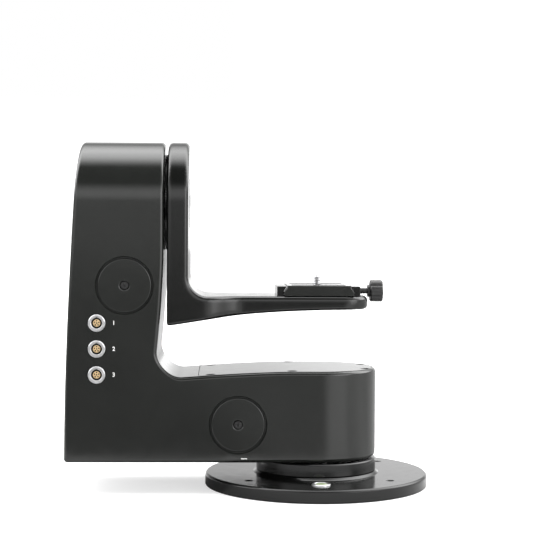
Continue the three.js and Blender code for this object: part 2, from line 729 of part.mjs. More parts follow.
function hubFlange() {
  return alongTilt([
    [SHAFT_R + GAP, HEAD_INNER + GAP], [HUB_R, HEAD_INNER + GAP], [HUB_R, ARM_LEFT - GAP],
    [SHAFT_R + GAP, ARM_LEFT - GAP],
  ], 32);
}

// Seen from the front: the upright, a large inside corner and the platform, whose underside
// rises in a slow curve.
function armFront() {
  const right = ARM_LEFT + ARM_T;
  const top = TILT_Z + ARM_R;
  const shape = new THREE.Shape();
  shape.moveTo(ARM_LEFT, top);
  shape.lineTo(ARM_LEFT, ARM_BOTTOM + 2);
  shape.quadraticCurveTo(ARM_LEFT, ARM_BOTTOM, ARM_LEFT + 2, ARM_BOTTOM + 0.1);
  shape.bezierCurveTo(-90, ARM_BOTTOM + 3.3, -60, DECK_BOTTOM, DECK_END, DECK_BOTTOM);
  shape.lineTo(DECK_END, DECK_TOP);
  const [centreX, centreZ] = [right + DECK_CORNER_R, DECK_TOP + DECK_CORNER_R];
  shape.lineTo(centreX, DECK_TOP);
  shape.absarc(centreX, centreZ, DECK_CORNER_R, -Math.PI / 2, -Math.PI, true);
  shape.lineTo(right, top);
  return shape;
}

// Seen from above: the platform is narrower than the upright and has a round end.
function armPlan() {
  const shape = new THREE.Shape();
  const [from, to] = DECK_NARROWS;
  const middle = (from + to) / 2;
  const [endX, endY] = [DECK_END - DECK_END_R, DECK_HALF - DECK_END_R];
  shape.moveTo(ARM_LEFT - 1, ARM_R);
  shape.lineTo(ARM_LEFT - 1, -ARM_R);
  shape.lineTo(from, -ARM_R);
  shape.bezierCurveTo(middle, -ARM_R, middle, -DECK_HALF, to, -DECK_HALF);
  shape.absarc(endX, -endY, DECK_END_R, -Math.PI / 2, 0);
  shape.absarc(endX, endY, DECK_END_R, 0, Math.PI / 2);
  shape.lineTo(to, DECK_HALF);
  shape.bezierCurveTo(middle, DECK_HALF, middle, ARM_R, from, ARM_R);
  return shape;
}

// One side of the dovetail that the camera plate slides in.
function plateRail(direction) {
  const section = outline([
    [RAIL_X, DECK_TOP - 1], [RAIL_X + RAIL_T, DECK_TOP - 1], [RAIL_X + RAIL_T, DECK_TOP + 7.5],
    [RAIL_X - 2, DECK_TOP + 7.5], [RAIL_X, DECK_TOP + 4],
  ].map(([x, z]) => [direction * x, z]));
  return solid(fromFront(section, RAIL_HALF_Y));
}

function tiltArm() {
  const side = new THREE.Shape();
  side.moveTo(-ARM_R, 100);
  side.lineTo(ARM_R, 100);
  side.absarc(0, TILT_Z, ARM_R, 0, Math.PI);
  const body = solid(fromFront(armFront(), ARM_R + 1, 0, 8))
    .intersect(solid(fromSide(side, ARM_LEFT, DECK_END + 10, 2.5, 12)))
    .intersect(solid(raised(armPlan(), 100, 300, 0, 8)));
  const capSeatX = SHAFT_RIGHT + GAP;
  const shaftBore = alongTilt([[0, -125], [SHAFT_R + GAP, -125], [SHAFT_R + GAP, -90], [0, -90]]);
  const capSeat = alongTilt([[0, capSeatX], [CAP_R + GAP, capSeatX], [CAP_R + GAP, -90], [0, -90]]);
  const knobHole = disc(KNOB_STEM_R + GAP, RAIL_X - 5, RAIL_X + 10,
    { direction: '+x', at: [0, 0, KNOB_Z], segments: 16 });
  const sensorPocket = box([SENSOR.left - GAP, -SENSOR.half - GAP, 130],
    [SENSOR.right + GAP, SENSOR.half + GAP, DECK_TOP - 4]);
  const slot = roundedRectangle(-8, 8, -22, 22, 8);
  const screwSlot = solid(raised(slot, DECK_BOTTOM - 5, DECK_TOP + 1, 0, 5));
  return body.add(plateRail(1)).add(plateRail(-1)).subtract(shaftBore).subtract(capSeat)
    .subtract(knobHole).subtract(sensorPocket).subtract(screwSlot);
}

function shaftCap() {
  const start = SHAFT_RIGHT + 2 * GAP;
  const end = start + 3.1;
  return alongTilt([[0, start], [CAP_R, start], [CAP_R, end - 0.6], [CAP_R - 0.6, end], [0, end]], 24);
}

function sensorBoard() {
  const { left, right, half } = SENSOR;
  return box([left + 2, -half + 2, DECK_TOP - 7.5], [right - 2, half - 2, DECK_TOP - 5.9]);
}

function sensorCover() {
  return box([SENSOR.left, -SENSOR.half, DECK_TOP - 11], [SENSOR.right, SENSOR.half, DECK_TOP - 9.2]);
}

function cameraPlate() {
  const low = DECK_TOP + GAP;
  const top = low + PLATE_T;
  const narrow = PLATE_HALF_X - PLATE_LIP;
  const section = outline([
    [-PLATE_HALF_X, low], [PLATE_HALF_X, low], [PLATE_HALF_X, low + 3], [narrow, low + 6],
    [narrow, top], [-narrow, top], [-narrow, low + 6], [-PLATE_HALF_X, low + 3],
  ]);
  const headHole = CAMERA_SCREW_HEAD_R + GAP;
  const shankHole = CAMERA_SCREW_R + 0.4;
  const screwHole = turned([
    [0, low - 1], [headHole, low - 1], [headHole, low + 4], [shankHole, low + 4],
    [shankHole, top + 1], [0, top + 1],
  ], { segments: 16 });
  return solid(fromFront(section, PLATE_HALF_Y)).subtract(screwHole);
}

function cameraScrew() {
  const low = DECK_TOP + 2 * GAP;
  const body = turned([
    [0, low], [CAMERA_SCREW_HEAD_R, low], [CAMERA_SCREW_HEAD_R, low + 3.3],
    [CAMERA_SCREW_R, low + 3.3], [CAMERA_SCREW_R, low + 14], [CAMERA_SCREW_R - 0.8, low + 14.8],
    [0, low + 14.8],
  ], { segments: 16 });
  return body.subtract(box([-5, -0.7, low - 1], [5, 0.7, low + 1.2]));
}

function clampKnob() {
  const grip = [];
  const lobes = 6;
  for (let i = 0; i < lobes * 3; i += 1) {
    const angle = (i / (lobes * 3)) * 2 * Math.PI;
    const radius = 8.2 + 0.9 * Math.cos(lobes * angle);
    grip.push([radius * Math.cos(angle), radius * Math.sin(angle)]);
  }
  const head = solid(fromSide(outline(grip), KNOB_X + 3, KNOB_X + 13));
  const stem = disc(KNOB_STEM_R, RAIL_X + 0.6, KNOB_X + 4, { direction: '+x', segments: 10 });
  const collar = disc(5, KNOB_X + 1, KNOB_X + 4, { direction: '+x', segments: 16 });
  return head.add(stem).add(collar).translate([0, 0, KNOB_Z]);
}

// ---------------------------------------------------------------- assembly
const base = new THREE.Group();
base.add(
  mesh('base_flange', baseFlange(), blackPaint()),
  mesh('base_cover', disc(BASE_COVER_R, 0, BASE_COVER_T, { segments: 48 }), aluminium()),
  mesh('level_bezel', levelBezel(), brushedSteel()),
  mesh('level_vial', levelVial(), levelLiquid()),
  mesh('neck_collar', neckCollar(), blackPaint()),
  mesh('pan_spindle', panSpindle(), brushedSteel()),
  mesh('pan_pulley', pulley(SPINDLE_R + GAP, PAN_PULLEY_R, PULLEY_W, PAN_PULLEY_Z,
    { segments: 24 }), aluminium()),
  mesh('spindle_lock_ring', ring(SPINDLE_R + GAP, 24, 71.3, 76), brushedSteel()),
  mesh('slip_ring_stator', slipRingStator(), blackPlastic()),
);

const housing = new THREE.Group();
housing.add(
  mesh('l_housing', headShell(), blackPaint()),
  mesh('top_cover', topCover(), blackPaint()),
  mesh('rear_cover', rearCover(), blackPaint()),
  mesh('pan_bearing_lower', panBearing(PAN_BEARING_SEAT_Z + GAP), brushedSteel()),
  mesh('pan_bearing_upper', panBearing(PAN_BOSS_TOP - 11.2), brushedSteel()),
  mesh('pan_motor', motor(27.8, 29.2, { at: [PAN_MOTOR_X, 0, 0] }), blackPlastic()),
  mesh('pan_motor_bracket', panMotorBracket(), aluminium()),
  mesh('pan_belt', panBelt(), rubber()),
  mesh('tilt_motor', motor(18.5, -146.1, { direction: '+x', at: [0, 0, TILT_MOTOR_Z] }), blackPlastic()),
  mesh('tilt_motor_bracket', tiltMotorBracket(), aluminium()),
  mesh('tilt_belt', tiltBelt(), rubber()),
  mesh('control_board', controlBoard(), boardGreen()),
  mesh('slip_ring_rotor', slipRingRotor(), blackPlastic()),
  mesh('power_inlet', powerInlet(), brushedSteel()),
  mesh('power_rocker', powerRocker(), blackPlastic()),
);
[TILT_BEARING_SEAT_X - 9.1, TILT_BOSS_LEFT + 0.5].forEach((from, i) => {
  const bearing = ring(SHAFT_R + GAP, TILT_BEARING_R, from, from + 8.7,
    { direction: '+x', at: [0, 0, TILT_Z] });
  housing.add(mesh(`tilt_bearing_${i ? 'outer' : 'inner'}`, bearing, brushedSteel()));
});
ACCESS_PLACES.forEach(([x, z], i) => {
  const place = i ? 'lower' : 'upper';
  housing.add(mesh(`access_cover_${place}`, accessCover(x, z), blackPaint()));
  housing.add(mesh(`access_screw_${place}`, accessScrew(x, z), blackPaint()));
});
SOCKET_Z.forEach((z, i) => {
  housing.add(mesh(`lens_socket_shell_${i + 1}`, socketShell(z), brushedSteel()));
  housing.add(mesh(`lens_socket_insert_${i + 1}`, socketInsert(z), gold()));
});
COVER_SCREWS.forEach(([x, y], i) => {
  housing.add(mesh(`top_cover_screw_${i + 1}`, coverScrew(x, y), blackPaint()));
});
REAR_SCREWS.forEach(([x, z], i) => {
  housing.add(mesh(`rear_cover_screw_${i + 1}`, rearScrew(x, z), blackPaint()));
});

const panDrive = drivePulley(57.3, PAN_PULLEY_Z - 57.3, 1, { at: [PAN_MOTOR_X, 0, 0] });
const tiltDrive = drivePulley(-146.4, -146.4 - TILT_PULLEY_X - PULLEY_W, -1,
  { direction: '+x', at: [0, 0, TILT_MOTOR_Z] });
const drives = new THREE.Group();
drives.add(
  mesh('pan_motor_pulley', panDrive, aluminium()),
  mesh('tilt_motor_pulley', tiltDrive, aluminium()),
);

const tilt = new THREE.Group();
tilt.add(
  mesh('tilt_shaft', tiltShaft(), brushedSteel()),
  mesh('tilt_lock_nut', lockNut(), brushedSteel()),
  mesh('tilt_pulley', pulley(SHAFT_R + GAP, TILT_PULLEY_R, PULLEY_W, TILT_PULLEY_X,
    { direction: '+x', at: [0, 0, TILT_Z], segments: 24 }), aluminium()),
  mesh('hub_flange', hubFlange(), blackPaint()),
  mesh('tilt_arm', tiltArm(), blackPaint()),
  mesh('shaft_cap', shaftCap(), blackPaint()),
  mesh('motion_sensor_board', sensorBoard(), boardGreen()),
  mesh('motion_sensor_cover', sensorCover(), blackPaint()),
  mesh('camera_plate', cameraPlate(), blackPaint()),
  mesh('camera_screw', cameraScrew(), brushedSteel()),
  mesh('clamp_knob', clampKnob(), blackPlastic()),
);

const gimbal = new THREE.Group();
gimbal.add(base, housing, drives, tilt);
export default gimbal;
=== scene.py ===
"""Looks of a motorised pan and tilt gimbal head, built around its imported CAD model.

Sizes are in millimetres, in the model's own frame: the origin is on the pan axis at the underside
of the base, +Z is up, +X runs from the upright of the housing to the pan axis, -Y is the front.
"""
import json
from functools import reduce
from math import cos, pi, radians, sin, sqrt

import bmesh
import bpy
import numpy as np
from mathutils import Matrix, Vector


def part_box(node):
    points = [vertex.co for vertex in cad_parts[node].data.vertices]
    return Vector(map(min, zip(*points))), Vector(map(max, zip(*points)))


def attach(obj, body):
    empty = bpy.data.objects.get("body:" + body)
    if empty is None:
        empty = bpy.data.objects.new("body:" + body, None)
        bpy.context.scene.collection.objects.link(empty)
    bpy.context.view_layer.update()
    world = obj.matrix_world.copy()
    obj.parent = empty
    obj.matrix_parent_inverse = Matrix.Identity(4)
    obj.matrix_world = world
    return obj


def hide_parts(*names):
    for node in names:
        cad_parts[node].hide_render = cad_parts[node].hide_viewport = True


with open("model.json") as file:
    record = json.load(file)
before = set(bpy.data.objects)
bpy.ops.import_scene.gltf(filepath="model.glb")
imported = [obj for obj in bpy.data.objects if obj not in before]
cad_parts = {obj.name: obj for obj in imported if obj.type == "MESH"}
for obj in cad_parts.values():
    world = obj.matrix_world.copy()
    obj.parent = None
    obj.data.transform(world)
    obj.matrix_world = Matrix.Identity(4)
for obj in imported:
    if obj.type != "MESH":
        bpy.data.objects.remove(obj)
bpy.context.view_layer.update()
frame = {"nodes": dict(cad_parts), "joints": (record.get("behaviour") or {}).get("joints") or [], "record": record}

MM = 0.001  # metres in a millimetre


def span(node):
    """Lowest and highest corner of a CAD node, in millimetres."""
    low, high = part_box(node)
    return low / MM, high / MM


def middle(node):
    low, high = span(node)
    return (low + high) / 2


def joint_place(name):
    for joint in frame["joints"]:
        if joint["name"] == name:
            return Vector(joint["pos_m"]) / MM


# -------- driving sizes
GAP = 0.3  # clearance between touching pieces
EDGE_STEPS = 6  # facets across a rounded edge
FINE_STEPS = 128  # facets round a large turned piece
SMALL_STEPS = 48  # facets round a small one
TINY_STEPS = 24  # facets round a pin or a pin hole
SHARP_ANGLE = 32  # degrees between faces that meet in a visible edge

HEAD_LOW, HEAD_HIGH = span("l_housing")
HEAD_R = HEAD_HIGH.y
HEAD_BOTTOM = HEAD_LOW.z
HEAD_LEFT = HEAD_LOW.x
HEAD_LEAN = 10.2  # how far its outer side leans in at the top
HEAD_DRAW = 4.9  # how far its inner side draws back below the tilt axis
FOOT_SINK = 5.1  # how far the top of the foot sinks towards the upright
HEAD_EDGE = 3
HEAD_CORNER_R = 17.3  # inside corner between upright and foot
FOOT_LEFT = -150  # the foot starts inside the upright
WALL, REAR_WALL = 4, 8
ROOM_RIGHT = -100  # where the upright's room has ended
CELLAR_LEFT, CELLAR_RIGHT, CELLAR_DEPTH = -135, 60, 8
FAR_LEFT, FAR_FRONT, FAR_UP = -200, -60, 300  # beyond the housing
TILT_Z = joint_place("tilt").z
TILT_BOSS_R, TILT_BOSS_LEFT = 22, -145.3
TILT_SEAT_R, TILT_SEAT_RIGHT, TILT_BORE_R = 17.8, -121.5, 13
PAN_BOSS_R, PAN_BOSS_TOP = 30, 57
PAN_SEAT_R, PAN_SEAT_BOTTOM, PAN_BORE_R = 23.8, 26, 19
TILT_AXIS = (0, 0, TILT_Z)
HUB_LOW, HUB_HIGH = span("hub_flange")
HEAD_INNER = HUB_LOW.x - GAP

COVER_LOW, COVER_HIGH = span("top_cover")
HEAD_TOP = COVER_HIGH.z
COVER_T = 3.5
COVER_INSET = HEAD_R - COVER_HIGH.y
COVER_LEDGE = 12  # width of the ledge that it rests on
COVER_CORNER_R = 5
COVER_SCREWS = range(1, 7)

REAR_LOW, REAR_HIGH = span("rear_cover")
REAR_SCREWS = range(1, 5)
REAR_INSIDE, REAR_OUTSIDE = 40, 50
SWITCH_HALF, SWITCH_BOTTOM, SWITCH_TOP = 4.3, 92.6, 107.4
SWITCH_TURN = -7  # degrees that the rocker lies tilted at rest
SHANK_R = 1.5  # of a cover's screw
ACCESS_R = 21.6
ACCESS_RIM = 4  # width of the step that a lid rests on
LEVELS = ("upper", "lower")
SOCKETS = (1, 2, 3)
SOCKET_R = span("lens_socket_shell_1")[1].x - middle("lens_socket_shell_1").x
SOCKET_BORE_R, SOCKET_BARREL_R, SOCKET_BACK = 4.1, 5.5, 31
SLEEVE_R, SLEEVE_BACK = 3.8, 28
CONTACT_R, PIN_HOLE_R, PIN_CIRCLE_R = 2.85, 0.55, 1.75
NUMERAL_SIZE, NUMERAL_SHIFT = 4.4, 11.8
INDEX_X, INDEX_Z = (-60.2, -55.6), (26.8, 27.3)

BASE_R = span("base_flange")[1].x
BASE_T = 10
NECK_LOW, NECK_HIGH = span("neck_collar")
NECK_R = NECK_HIGH.x
BASE_COVER_R = span("base_cover")[1].x
BASE_COVER_T = span("base_cover")[1].z
SPINDLE_BORE_R = 11.5
BASE_HOLE_R = 2.75
BASE_HOLE_CIRCLE_R = 70.6
BASE_HOLE_ANGLE = 40  # degrees from the X axis
NECK_INNER_R, NECK_BORE_R = 41.3, 18.1
LEVEL_SEAT_R, LEVEL_R, LEVEL_BORE_R, VIAL_R = 7.5, 7.2, 5.1, 4.8

ARM_LOW, ARM_HIGH = span("tilt_arm")
ARM_LEFT = ARM_LOW.x
ARM_RIGHT = ARM_LEFT + 16.3  # inner side of its upright
ARM_R = ARM_HIGH.y
ARM_BOTTOM = ARM_LOW.z
ARM_EDGE = 3.4
ARM_FACET = 1.3  # size of the facets of the arm
DECK_TOP = 150.5
DECK_BOTTOM = 140.1
DECK_END = ARM_HIGH.x
DECK_HALF = 34
DECK_END_R = 20  # corners at the end of the platform, in plan
DECK_CORNER_R = 15.6  # inside corner between upright and platform
RAIL_X = span("camera_plate")[1].x + 0.4
SHAFT_HOLE_R = 10.3
CAP_SEAT_R, CAP_SEAT_LEFT = 20.3, -104.2
KNOB_HOLE_R = 2.7
KNOB_AXIS = (0, 0, joint_place("clamp_knob_turn").z)
SENSOR_POCKET_BOTTOM = 130
TEETH = 120  # round the hub disc
PAD_Y, PAD_HALF = 19, 9  # rubber pads of the camera plate
PAD_HALF_LENGTH = 21
THREAD_R, THREAD_PITCH, THREAD_DEPTH = 3.1, 1.27, 0.55


# -------- outlines
def arc(centre, radius, start, end, steps):
    """Points of a circle from one angle to another, in degrees."""
    angles = np.radians(np.linspace(start, end, steps + 1))
    return [(centre[0] + radius * cos(a), centre[1] + radius * sin(a)) for a in angles]


def bezier(a, b, c, d, steps):
    """Points of a cubic curve that leaves a towards b and reaches d from c."""
    points = []
    for t in np.linspace(0, 1, steps + 1):
        weights = ((1 - t) ** 3, 3 * t * (1 - t) ** 2, 3 * t * t * (1 - t), t ** 3)
        points.append(tuple(sum(w * p[i] for w, p in zip(weights, (a, b, c, d))) for i in (0, 1)))
    return points


def rounded_rectangle(left, right, bottom, top, radius):
    left, right, bottom, top = left + radius, right - radius, bottom + radius, top - radius
    points = []
    for i, centre in enumerate(((right, bottom), (right, top), (left, top), (left, bottom))):
        points += arc(centre, radius, 90 * i - 90, 90 * i, EDGE_STEPS)
    return points


def softened(points, radius, steps=4):
    """Rounds the corners of a closed outline, but leaves those on the axis."""
    result = []
    for i, corner in enumerate(points):
        here = Vector(corner)
        before = Vector(points[i - 1]) - here
        after = Vector(points[(i + 1) % len(points)]) - here
        if abs(corner[0]) < 1e-6 or radius == 0:
            result.append(tuple(here))
            continue
        reach = min(radius, before.length * 0.45, after.length * 0.45)
        start = here + before.normalized() * reach
        end = here + after.normalized() * reach
        for t in np.linspace(0, 1, steps + 1):
            result.append(tuple(start * (1 - t) ** 2 + here * 2 * t * (1 - t) + end * t * t))
    return result


def raised(base, profile):
    """A turned profile whose heights were given from that base."""
    return [(radius, base + height) for radius, height in profile]


# The housing, seen from the front: its outer side leans in towards the top, its inner side draws
# back a little below the tilt axis, and the top of the foot sinks towards the upright.
def head_left(z):
    rise = min(max((z - HEAD_BOTTOM) / (HEAD_HIGH.z - HEAD_BOTTOM), 0), 1)
    return HEAD_LEFT + HEAD_LEAN * rise ** 1.7


def head_right(z):
    flat_from = 185
    fall = min(max((flat_from - z) / 77, 0), 1.3)
    return HEAD_INNER - HEAD_DRAW * fall ** 1.6


def foot_top(x):
    run = min(max((-20 - x) / 95, 0), 1.4)
    return HEAD_TOP - FOOT_SINK * run ** 1.5


# -------- meshes
def shown(name, data):
    made = bpy.data.objects.new(name, data)
    bpy.context.scene.collection.objects.link(made)
    return made


def worked_out(thing):
    """The mesh of an object, once its modifiers or its curve have taken effect."""
    bpy.context.view_layer.update()
    shaped = thing.evaluated_get(bpy.context.evaluated_depsgraph_get())
    return bpy.data.meshes.new_from_object(shaped)


def blank(corners, faces):
    """An object with that mesh, in millimetres, its repeated corners joined and its faces out."""
    mesh = bpy.data.meshes.new("blank")
    mesh.from_pydata([Vector(c) * MM for c in corners], [], faces)
    work = bmesh.new()
    work.from_mesh(mesh)
    bmesh.ops.remove_doubles(work, verts=work.verts, dist=2e-6)
    bmesh.ops.recalc_face_normals(work, faces=work.faces)
    work.to_mesh(mesh)
    work.free()
    return shown("blank", mesh)


def bands(layers, count):
    """The corners of loops of equal length, and the faces of that many bands between them."""
    size = len(layers[0])
    faces = []
    for k in range(count):
        here, there = k * size, (k + 1) % len(layers) * size
        for i in range(size):
            j = (i + 1) % size
            faces.append((here + i, here + j, there + j, there + i))
    return [corner for layer in layers for corner in layer], faces


def skin(layers, ladder):
    """Joins loops of equal length into a solid. Its two ends are one face each, or a ladder of
    faces between the two mirrored halves of the loop."""
    corners, faces = bands(layers, len(layers) - 1)
    size = len(layers[0])
    for start in (0, (len(layers) - 1) * size):
        if ladder:
            for i in range(size // 2 - 1):
                faces.append((start + i, start + i + 1, start + size - 2 - i, start + size - 1 - i))
        else:
            faces.append(tuple(range(start, start + size)))
    return blank(corners, faces)


def edge_turns(edge):
    """How far a rounded edge is from the side and from the end, step by step."""
    if edge == 0:
        return [(0, 0)]
    angles = np.linspace(0, pi / 2, EDGE_STEPS + 1)
    return [(edge * (1 - sin(a)), edge * (1 - cos(a))) for a in angles]


# Where a point lies whose first two numbers are drawn in a plane and whose third is measured
# across it: along an axis, from the front towards the back, or from the left towards the right.
WAYS = {
    "+x": lambda a, b, c: (c, a, b),
    "+y": lambda a, b, c: (b, c, a),
    "-y": lambda a, b, c: (a, -c, b),
    "+z": lambda a, b, c: (a, b, c),
    "front": lambda a, b, c: (a, c, b),
    "left": lambda a, b, c: (c, b, a),
}


def prism(outline, low, high, edge, way, ladder=False):
    """A solid between two ends, with rounded edges. outline(inset) gives its section, low(a, b)
    and high(a, b) its ends."""
    place = WAYS[way]
    turns = edge_turns(edge)
    layers = [[place(a, b, low(a, b) + rise) for a, b in outline(inset)] for inset, rise in turns]
    layers += [[place(a, b, high(a, b) - rise) for a, b in outline(inset)]
               for inset, rise in reversed(turns)]
    return skin(layers, ladder)


def mirrored(half):
    return half + [(a, -b) for a, b in reversed(half)]


def slab(outline, low, high, way, edge=0.0):
    """A flat plate with a fixed outline, given as a function of its inset."""
    return prism(outline, lambda a, b: low, lambda a, b: high, edge, way)


def block(low, high, edge=0.0):
    """A box with rounded edges."""
    def outline(inset):
        radius = max(edge * 1.5 - inset, 0.01)
        return rounded_rectangle(low[0] + inset, high[0] - inset, low[1] + inset, high[1] - inset, radius)
    return slab(outline, low[2], high[2], "+z", edge)


def lathe(profile, way="+z", at=(0, 0, 0), steps=SMALL_STEPS, soft=0.0, ripple=None):
    """A turned solid. The profile is a closed list of (radius, height along the axis). ripple
    gives a radius in place of (radius, height, angle), for teeth and lobes."""
    outline = softened(profile, soft)
    layers = []
    for k in range(steps):
        angle = 2 * pi * k / steps
        layer = []
        for radius, height in outline:
            reach = ripple(radius, height, angle) if ripple else radius
            point = WAYS[way](reach * cos(angle), reach * sin(angle), height)
            layer.append(tuple(p + q for p, q in zip(point, at)))
        layers.append(layer)
    return blank(*bands(layers, steps))


def stepped(start, *stages):
    """A turned profile of stages, each with its radius and the height where it ends."""
    points = [(0, start)]
    for radius, end in stages:
        points += [(radius, points[-1][1]), (radius, end)]
    return points + [(0, end)]


def disc(radius, low, high, way="+z", at=(0, 0, 0), steps=SMALL_STEPS, soft=0.0):
    return lathe(stepped(low, (radius, high)), way, at, steps, soft)


def combine(target, tools, operation):
    """Joins the tools to the target or cuts them out of it, one after another."""
    for tool in tools:
        step = target.modifiers.new("combine", "BOOLEAN")
        step.operation = operation
        step.solver = "MANIFOLD"
        step.object = tool
    mesh = worked_out(target)
    target.modifiers.clear()
    target.data = mesh
    for tool in tools:
        bpy.data.objects.remove(tool)
    return target


def cut(target, *tools):
    return combine(target, tools, "DIFFERENCE")


def join(target, *tools):
    return combine(target, tools, "UNION")


def overlap(target, *tools):
    return combine(target, tools, "INTERSECT")


# -------- materials
class NodeTree:
    """Adds nodes to a tree. What each helper gives back is the output of the node that it adds."""

    def __init__(self, tree):
        self.tree = tree

    def add(self, kind, inputs, **values):
        """Adds a shader node. Its inputs are plain values or other nodes' outputs."""
        node = self.tree.nodes.new("ShaderNode" + kind)
        for key, value in values.items():
            setattr(node, key, value)
        for key, source in inputs.items():
            self.plug(node.inputs[key], source)
        return node

    def plug(self, socket, source):
        if isinstance(source, bpy.types.NodeSocket):
            self.tree.links.new(source, socket)
        else:
            socket.default_value = source

    def value(self, operation, *numbers):
        return self.add("Math", dict(enumerate(numbers)), operation=operation).outputs[0]

    def ramp(self, source, start, end, low=0.0, high=1.0):
        """Takes a value between start and end to one between low and high."""
        return self.add("MapRange", {
            "Value": source, "From Min": start, "From Max": end, "To Min": low, "To Max": high,
        }, interpolation_type="SMOOTHSTEP").outputs["Result"]

    def product(self, *factors):
        return reduce(lambda a, b: self.value("MULTIPLY", a, b), factors)

    def total(self, *terms):
        return reduce(lambda a, b: self.value("ADD", a, b), terms)

    def heading(self, aside, behind):
        """Degrees away from the front, positive towards the right."""
        turn = self.value("ARCTAN2", aside, self.value("MULTIPLY", behind, -1))
        return self.value("MULTIPLY", turn, 180 / pi)


class Nodes(NodeTree):
    """Builds a material's node tree. Sizes of patterns are given in millimetres."""

    def __init__(self, name):
        self.material = bpy.data.materials.new(name)
        self.material.use_nodes = True
        super().__init__(self.material.node_tree)
        self.shader = self.tree.nodes["Principled BSDF"]
        self.place = self.add("TexCoord", {}).outputs["Object"]

    def feed(self, name, source):
        """Sets an input of the shader."""
        self.plug(self.shader.inputs[name], source)

    def noise(self, size, detail=2.0, stretch=None):
        place = self.place
        if stretch:
            place = self.add("Mapping", {"Scale": stretch, "Vector": place}).outputs["Vector"]
        return self.add("TexNoise", {
            "Scale": 1 / (size * MM), "Detail": detail, "Vector": place}).outputs["Fac"]

    def spread(self, noise, low, high):
        """Spreads the usual values of a noise over the span from low to high."""
        return self.ramp(noise, 0.3, 0.7, low, high)

    def blend(self, factor, first, second):
        """Mixes two colours, each a plain colour or another node's output."""
        first, second = ((*c, 1) if isinstance(c, tuple) else c for c in (first, second))
        inputs = {"Factor": factor, 6: first, 7: second}
        return self.add("Mix", inputs, data_type="RGBA").outputs[2]

    def clouded(self, noise, first, second):
        """A colour that drifts from one to another with a noise."""
        return self.blend(self.spread(noise, 0, 1), first, second)

    def edges(self, radius, patches):
        """How worn each point is: 1 on a sharp edge, broken up by larger patches."""
        bevel = self.add("Bevel", {"Radius": radius * MM}, samples=4)
        flat = self.add("NewGeometry", {})
        dot = self.add("VectorMath", {0: bevel.outputs["Normal"], 1: flat.outputs["Normal"]},
                       operation="DOT_PRODUCT")
        worn = self.ramp(dot.outputs["Value"], 0.86, 0.99, 1, 0)
        return self.product(worn, self.spread(self.noise(patches), 0.2, 1))

    def coated(self, colour, gloss, rough, height, depth):
        """The material, with that colour, a roughness that follows a noise, and a relief whose
        depth is in millimetres."""
        bump = self.add("Bump", {"Distance": depth * MM, "Height": height})
        self.feed("Base Color", colour)
        self.feed("Roughness", self.spread(gloss, *rough))
        self.feed("Normal", bump.outputs["Normal"])
        return self.material


def times(factor, colour):
    return tuple(factor * part for part in colour)


def dark_coat(name, colour, rough, grain, depth, shine=0.5):
    """Black paint, anodising or oxide: fine grain, uneven gloss and slightly rubbed edges."""
    nodes = Nodes(name)
    nodes.feed("Specular IOR Level", shine)
    tinted = nodes.clouded(nodes.noise(28, 3), colour, times(1.15, colour))
    rubbed = nodes.blend(nodes.edges(0.6, 6), tinted, times(3.2, colour))
    rough = (rough - 0.02, rough + 0.02)
    return nodes.coated(rubbed, nodes.noise(9, 4), rough, nodes.noise(grain, 2), depth)


def bright_metal(name, colour, rough, grain, stretch, depth):
    """Turned, ground or plated metal, with fine tool marks drawn out along one direction."""
    nodes = Nodes(name)
    nodes.feed("Metallic", 1)
    marks = nodes.noise(grain, 3, stretch)
    tinted = nodes.clouded(nodes.noise(5, 2), colour, times(0.86, colour))
    return nodes.coated(tinted, marks, (0.85 * rough, 1.15 * rough), marks, depth)


def soft_coat(name, first, second, clouds, gloss, rough, grain, depth, lacquer=0.0):
    """Plastic, rubber, ink or glass: it drifts between two colours and has an uneven gloss."""
    nodes = Nodes(name)
    nodes.feed("Coat Weight", lacquer)
    tinted = nodes.clouded(nodes.noise(*clouds), first, second)
    return nodes.coated(tinted, nodes.noise(gloss), rough, nodes.noise(grain), depth)


def polymer(name, colour, rough, grain, depth):
    """Moulded plastic or rubber with a spark-eroded texture."""
    rough = (rough - 0.08, rough + 0.08)
    return soft_coat(name, colour, times(1.5, colour), (3, 3), 4, rough, grain, depth)


def circuit_board(name):
    """Green solder resist over copper tracks."""
    nodes = Nodes(name)
    tracks = nodes.add("TexBrick", {
        "Scale": 1 / (9 * MM), "Mortar Size": 0.04, "Vector": nodes.place}).outputs["Fac"]
    tinted = nodes.blend(tracks, (0.012, 0.09, 0.04), (0.03, 0.17, 0.07))
    return nodes.coated(tinted, nodes.noise(2), (0.3, 0.45), tracks, 0.03)


BLACK = "black_anodised"  # the finish of most pieces
FINISHES = {name: make(name, *values) for name, make, *values in (
    (BLACK, dark_coat, (0.0103, 0.0111, 0.0101), 0.13, 0.22, 0.001),
    ("black_steel", dark_coat, (0.0045, 0.0047, 0.0045), 0.15, 0.5, 0.002, 0.36),
    ("black_screw", dark_coat, (0.014, 0.014, 0.014), 0.26, 0.15, 0.003),
    ("plain_aluminium", bright_metal, (0.6, 0.61, 0.62), 0.36, 0.3, (1, 1, 0.05), 0.012),
    ("steel", bright_metal, (0.52, 0.52, 0.53), 0.28, 0.2, (1, 1, 0.05), 0.012),
    ("bright_chrome", bright_metal, (0.70, 0.70, 0.71), 0.36, 0.25, (0.2, 1, 0.2), 0.0006),
    ("gold_contact", bright_metal, (1.0, 0.74, 0.42), 0.42, 0.15, (1, 0.2, 1), 0.002),
    ("black_plastic", polymer, (0.012, 0.012, 0.012), 0.42, 0.25, 0.02),
    ("belt_rubber", polymer, (0.01, 0.01, 0.01), 0.75, 0.4, 0.03),
    ("circuit_board", circuit_board),
    ("level_liquid", soft_coat, (0.3, 0.35, 0.22), (0.38, 0.43, 0.29), (3,), 1, (0.05, 0.12), 2,
     0.01, 0.6),
)}
